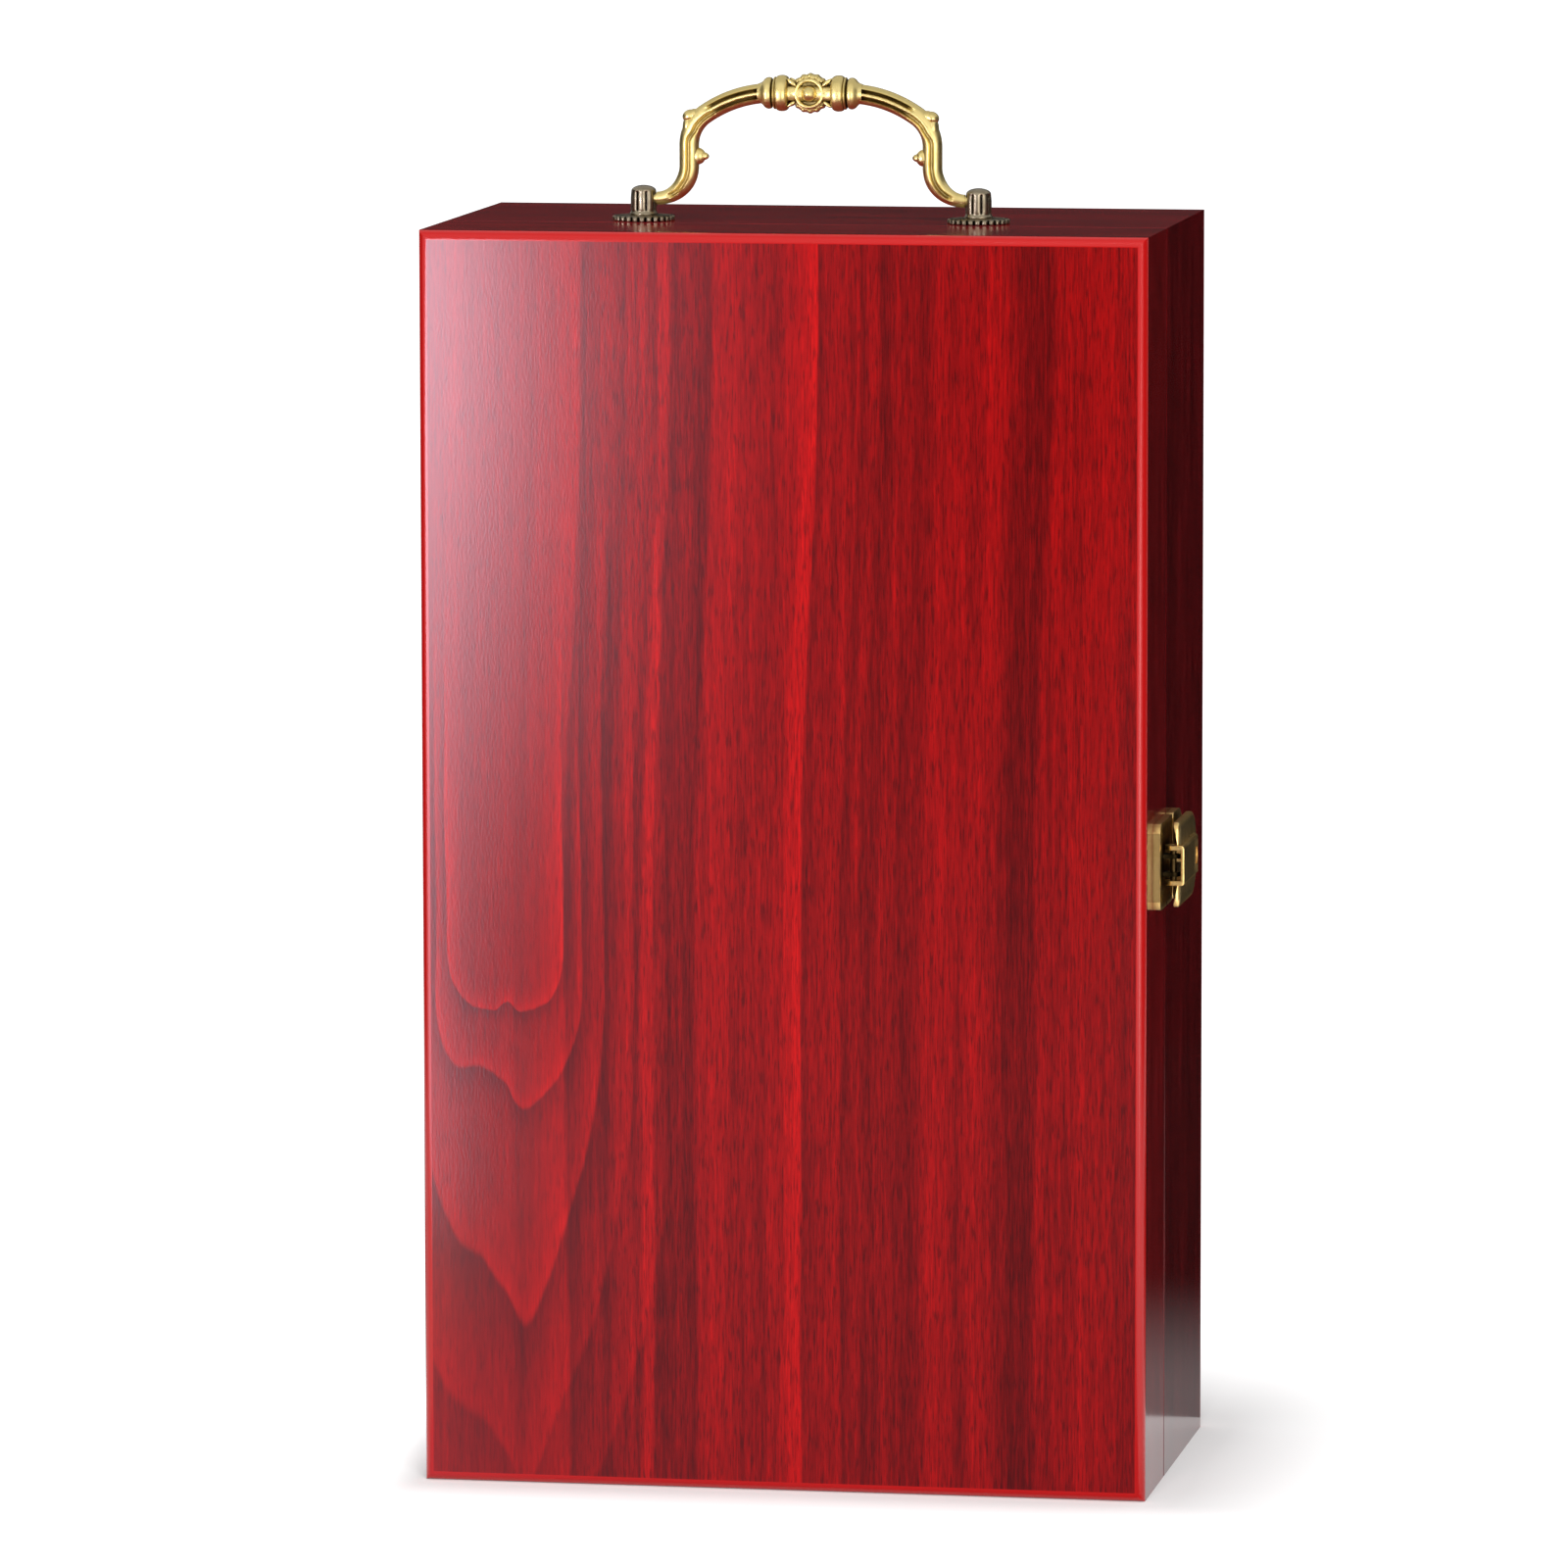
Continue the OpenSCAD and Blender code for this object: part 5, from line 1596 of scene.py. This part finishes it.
@dataclass
class Studio:
    """The camera, the lamp, the pale floor, and plain cards that only polished surfaces mirror."""

    camera: tuple[float, float, float] = (503.29, -2903.75, 559.98)
    azimuth: float = 10.019
    elevation: float = 7.084
    roll: float = -0.097
    lens: float = 238.9
    ambient: float = 0.5
    # The floor's glow next to the box's foot, lowered there as a painted shadow, and further away
    floor_glow: tuple[float, float] = (0.2, 0.85)
    key_power: float = 22.0
    sheen: float = 8.0
    face_y: float = -60.0

    def place_camera(self) -> None:
        """Sets the camera at the photograph's place."""
        a, e, r = (math.radians(v) for v in (self.azimuth, self.elevation, self.roll))
        back = Vector((math.sin(a) * math.cos(e), -math.cos(a) * math.cos(e), math.sin(e)))
        right = Vector((math.cos(a), math.sin(a), 0))
        up = back.cross(right)
        level = math.cos(r) * right + math.sin(r) * up
        stand = -math.sin(r) * right + math.cos(r) * up
        data = bpy.data.cameras.new("view")
        data.lens, data.sensor_width, data.clip_end = self.lens, 36.0, 100.0
        camera = bpy.data.objects.new("view", data)
        matrix = Matrix((level, stand, back)).transposed().to_4x4()
        matrix.translation = Vector(self.camera) * MM
        camera.matrix_world = matrix
        bpy.context.scene.collection.objects.link(camera)
        bpy.context.scene.camera = camera

    def glow(self, name: str, strength: float) -> Material:
        """Makes the material of an even card.

        Args:
            name: the material's name.
            strength: how bright it is, where 1 is white.

        Returns:
            The material.
        """
        return start_material(name, "ShaderNodeEmission", Color=(1, 1, 1, 1), Strength=strength)[0]

    def card(self, name: str, corners: list[tuple[float, float, float]], light: float | Material) -> None:
        """Stands up a card that only polished surfaces see.

        Args:
            name: the card's name.
            corners: its four corners in millimetres.
            light: how bright it is, or its material.
        """
        mesh = bpy.data.meshes.new(name)
        mesh.from_pydata([tuple(v * MM for v in corner) for corner in corners], [], [(0, 1, 2, 3)])
        obj = add_object(name, mesh)
        obj.data.materials.append(self.glow(name, light) if isinstance(light, float) else light)
        obj.visible_camera = obj.visible_diffuse = obj.visible_transmission = False
        obj.visible_shadow = obj.visible_volume_scatter = False

    def sheen_card(self) -> Material:
        """Makes the light of the front cards: bright at the upper left and falling off to the right and down.

        Returns:
            The material.
        """
        material, tree, shader = start_material(
            "graded_light", "ShaderNodeEmission", Color=(0.96, 0.94, 1.12, 1))
        place = put(tree, "ShaderNodeTexCoord").outputs["Object"]
        axes = put(tree, "ShaderNodeSeparateXYZ", {0: place})
        # Where on the lid's face the camera sees a spot of a card mirrored, in metres, so that cards
        # at several distances show one even fall of light
        eye_x, eye_y, eye_z = (v * MM for v in self.camera)
        away = put(tree, MATH, {0: self.face_y * MM, 1: axes.outputs[1]}, operation="SUBTRACT")
        away = put(tree, MATH, {0: away, 1: 1 / (self.face_y * MM - eye_y)}, operation="MULTIPLY")
        spread = put(tree, MATH, {0: away, 1: 1.0}, operation="ADD")
        spots = []
        for eye, axis in ((eye_x, 0), (eye_z, 2)):
            spot = put(tree, MATH, {0: away, 1: eye, 2: axes.outputs[axis]}, operation="MULTIPLY_ADD")
            spots.append(put(tree, MATH, {0: spot, 1: spread}, operation="DIVIDE"))
        left, high = spots
        # A bright streak at the left edge, and a faint veil that reaches further across the face
        held = put(tree, MATH, {0: left, 1: -0.106}, operation="MAXIMUM")
        falls = []
        for strength, reach in ((self.sheen * 0.98, 0.025), (self.sheen * 0.082, 0.055)):
            fall = put(tree, MATH, {0: held, 1: 0.099}, operation="ADD")
            fall = put(tree, MATH, {0: fall, 1: -1 / reach}, operation="MULTIPLY")
            fall = put(tree, MATH, {0: math.e, 1: fall}, operation="POWER")
            falls.append(put(tree, MATH, {0: fall, 1: strength}, operation="MULTIPLY"))
        climb = put(tree, "ShaderNodeMapRange", {0: high, 1: 0.13, 2: 0.375}, interpolation_type="SMOOTHSTEP")
        total = put(tree, MATH, {0: falls[0], 1: climb, 2: falls[1]}, operation="MULTIPLY_ADD")
        low = put(tree, "ShaderNodeMapRange", {0: high, 1: 0.33, 2: 0.08, 3: 0.0, 4: 0.2},
                  interpolation_type="SMOOTHSTEP")
        total = put(tree, MATH, {0: total, 1: low}, operation="ADD")
        # The rounded left edge of the face mirrors what stands further to the left
        beside = put(tree, "ShaderNodeMapRange", {
            0: left, 1: -0.112, 2: -0.13, 3: 0.0, 4: 0.7 * self.sheen}, interpolation_type="SMOOTHSTEP")
        total = put(tree, MATH, {0: total, 1: beside}, operation="ADD")
        tree.links.new(total.outputs[0], shader.inputs["Strength"])
        return material

    def dimming_light(self) -> Material:
        """Makes the light of the floor behind the box, which falls off towards the back.

        Returns:
            The material.
        """
        material, tree, shader = start_material("dimming_light", "ShaderNodeEmission", Color=(1, 1, 1, 1))
        axes = put(tree, "ShaderNodeSeparateXYZ", {0: put(tree, "ShaderNodeTexCoord").outputs["Object"]})
        fall = put(tree, "ShaderNodeMapRange", {0: axes.outputs[1], 1: 0.1, 2: 0.32, 3: 0.2, 4: 0.006},
                   interpolation_type="SMOOTHSTEP")
        tree.links.new(fall.outputs[0], shader.inputs["Strength"])
        return material

    def lamp(self, name: str, place: tuple, aim: tuple, size: float, power: float) -> None:
        """Hangs a square soft lamp.

        Args:
            name: its name.
            place: where it hangs, in millimetres.
            aim: what it points at.
            size: its side in millimetres.
            power: its power in watts.
        """
        data = bpy.data.lights.new(name, "AREA")
        data.size, data.energy = size * MM, power
        obj = bpy.data.objects.new(name, data)
        # The lacquered top would mirror the lamp as a white field from behind
        obj.visible_glossy = False
        way = Vector(aim) - Vector(place)
        matrix = way.to_track_quat("-Z", "Y").to_matrix().to_4x4()
        matrix.translation = Vector(place) * MM
        obj.matrix_world = matrix
        bpy.context.scene.collection.objects.link(obj)

    def white_rays(self, tree: NodeTree) -> Node:
        """Finds the rays that see a white studio: the camera's, mirrored and refracted ones.

        Args:
            tree: the node tree.

        Returns:
            A node that gives 1 for those rays and 0 for others.
        """
        path = put(tree, "ShaderNodeLightPath")
        seen = put(tree, MATH, {
            0: path.outputs["Is Camera Ray"], 1: path.outputs["Is Glossy Ray"]}, operation="MAXIMUM")
        return put(tree, MATH, {0: seen, 1: path.outputs["Is Transmission Ray"]}, operation="MAXIMUM")

    def sky(self) -> None:
        """Hangs an even sky that is dimmer for what it lights than for what sees it."""
        world = bpy.data.worlds.new("studio")
        world.use_nodes = True
        bpy.context.scene.world = world
        tree = world.node_tree
        tree.nodes.clear()
        amount = put(tree, "ShaderNodeMapRange", {0: self.white_rays(tree), 3: self.ambient, 4: 1.0})
        sky = put(tree, "ShaderNodeBackground", {"Color": (1, 1, 1, 1), "Strength": amount})
        put(tree, "ShaderNodeOutputWorld", {"Surface": sky})

    def floor(self) -> None:
        """Lays the pale paper floor."""
        floor_mesh = bpy.data.meshes.new("floor")
        floor_mesh.from_pydata([(-8, -8, 0), (8, -8, 0), (8, 12, 0), (-8, 12, 0)], [], [(0, 1, 2, 3)])
        floor = add_object("floor", floor_mesh)
        material, tree, shader = start_material(
            "matt_white_paper", Base_Color=(0.8, 0.8, 0.8, 1), Roughness=0.9, Specular_IOR_Level=0.0,
            Emission_Color=(1, 1, 1, 1))
        # The paper's own glow is lowered round the box's foot: a painted shadow, fixed to the closed box's
        # footprint, that keeps the shadow close round it
        place = put(tree, "ShaderNodeTexCoord").outputs["Object"]
        axes = put(tree, "ShaderNodeSeparateXYZ", {0: place}).outputs
        ways = []
        for axis, start, grows in ((0, 0.102, 1.0), (0, -0.102, 4.0), (1, 0.06, 0.6), (1, -0.06, 2.0)):
            stop = start + math.copysign(1.0, start)
            ways.append(put(tree, "ShaderNodeMapRange", {0: axes[axis], 1: start, 2: stop, 3: 0.0, 4: grows}))
        beside = put(tree, MATH, {0: ways[0], 1: ways[1]}, operation="ADD")
        along = put(tree, MATH, {0: ways[2], 1: ways[3]}, operation="ADD")
        away = put(tree, "ShaderNodeCombineXYZ", {0: beside, 1: along})
        away = put(tree, "ShaderNodeVectorMath", {0: away}, operation="LENGTH").outputs["Value"]
        near, out = self.floor_glow
        amount = put(tree, "ShaderNodeMapRange", {0: away, 1: 0.01, 2: 0.092, 3: near, 4: out})
        glow = put(tree, MATH, {0: self.white_rays(tree), 1: amount}, operation="MULTIPLY")
        tree.links.new(glow.outputs[0], shader.inputs["Emission Strength"])
        floor.data.materials.append(material)

    def cards(self) -> None:
        """Sets up the plain cards that the lacquer and the metals mirror."""
        graded = self.sheen_card()
        self.card("front_card", standing((-330, -420, 0), (110, -420, 385)), graded)
        self.card("front_floor_card", [
            (-190, -420, 0.4), (110, -420, 0.4), (110, -60, 0.4), (-113, -60, 0.4)], graded)
        self.card("back_floor_card", lying((-500, 70, 0.4), (600, 800, 0.4)), self.dimming_light())
        self.card("back_card", standing((-600, 800, 0), (700, 800, 330)), 0.004)
        self.card("high_back_card", standing((-600, 800, 330), (700, 800, 900)), 0.03)
        self.card("ceiling_card", lying((-900, -240, 1000), (900, 800, 1000)), 0.6)
        self.card("edge_card", standing((300, -955, 0), (700, -700, 440)), 5.0)
        self.card("left_card", standing((-800, -350, 0), (-800, 800, 800)), 0.04)
        self.card("right_card", standing((800, -350, 0), (800, 800, 800)), 0.04)

    def build(self) -> None:
        """Sets up the whole studio."""
        bpy.context.scene.view_settings.view_transform = "Standard"
        self.place_camera()
        self.sky()
        self.floor()
        self.lamp("key", (280, -1500, 1400), (0, 0, 180), 900, self.key_power)
        self.cards()


def main() -> None:
    """Builds every sub-assembly in order."""
    logging.basicConfig(level=logging.INFO, format="%(message)s")
    shop = Shop(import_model())
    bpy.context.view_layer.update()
    Studio().build()
    Case().build(shop)
    Hinges().build(shop)
    Latch().build(shop)
    Handle().build(shop)


if __name__ == "__main__":
    main()
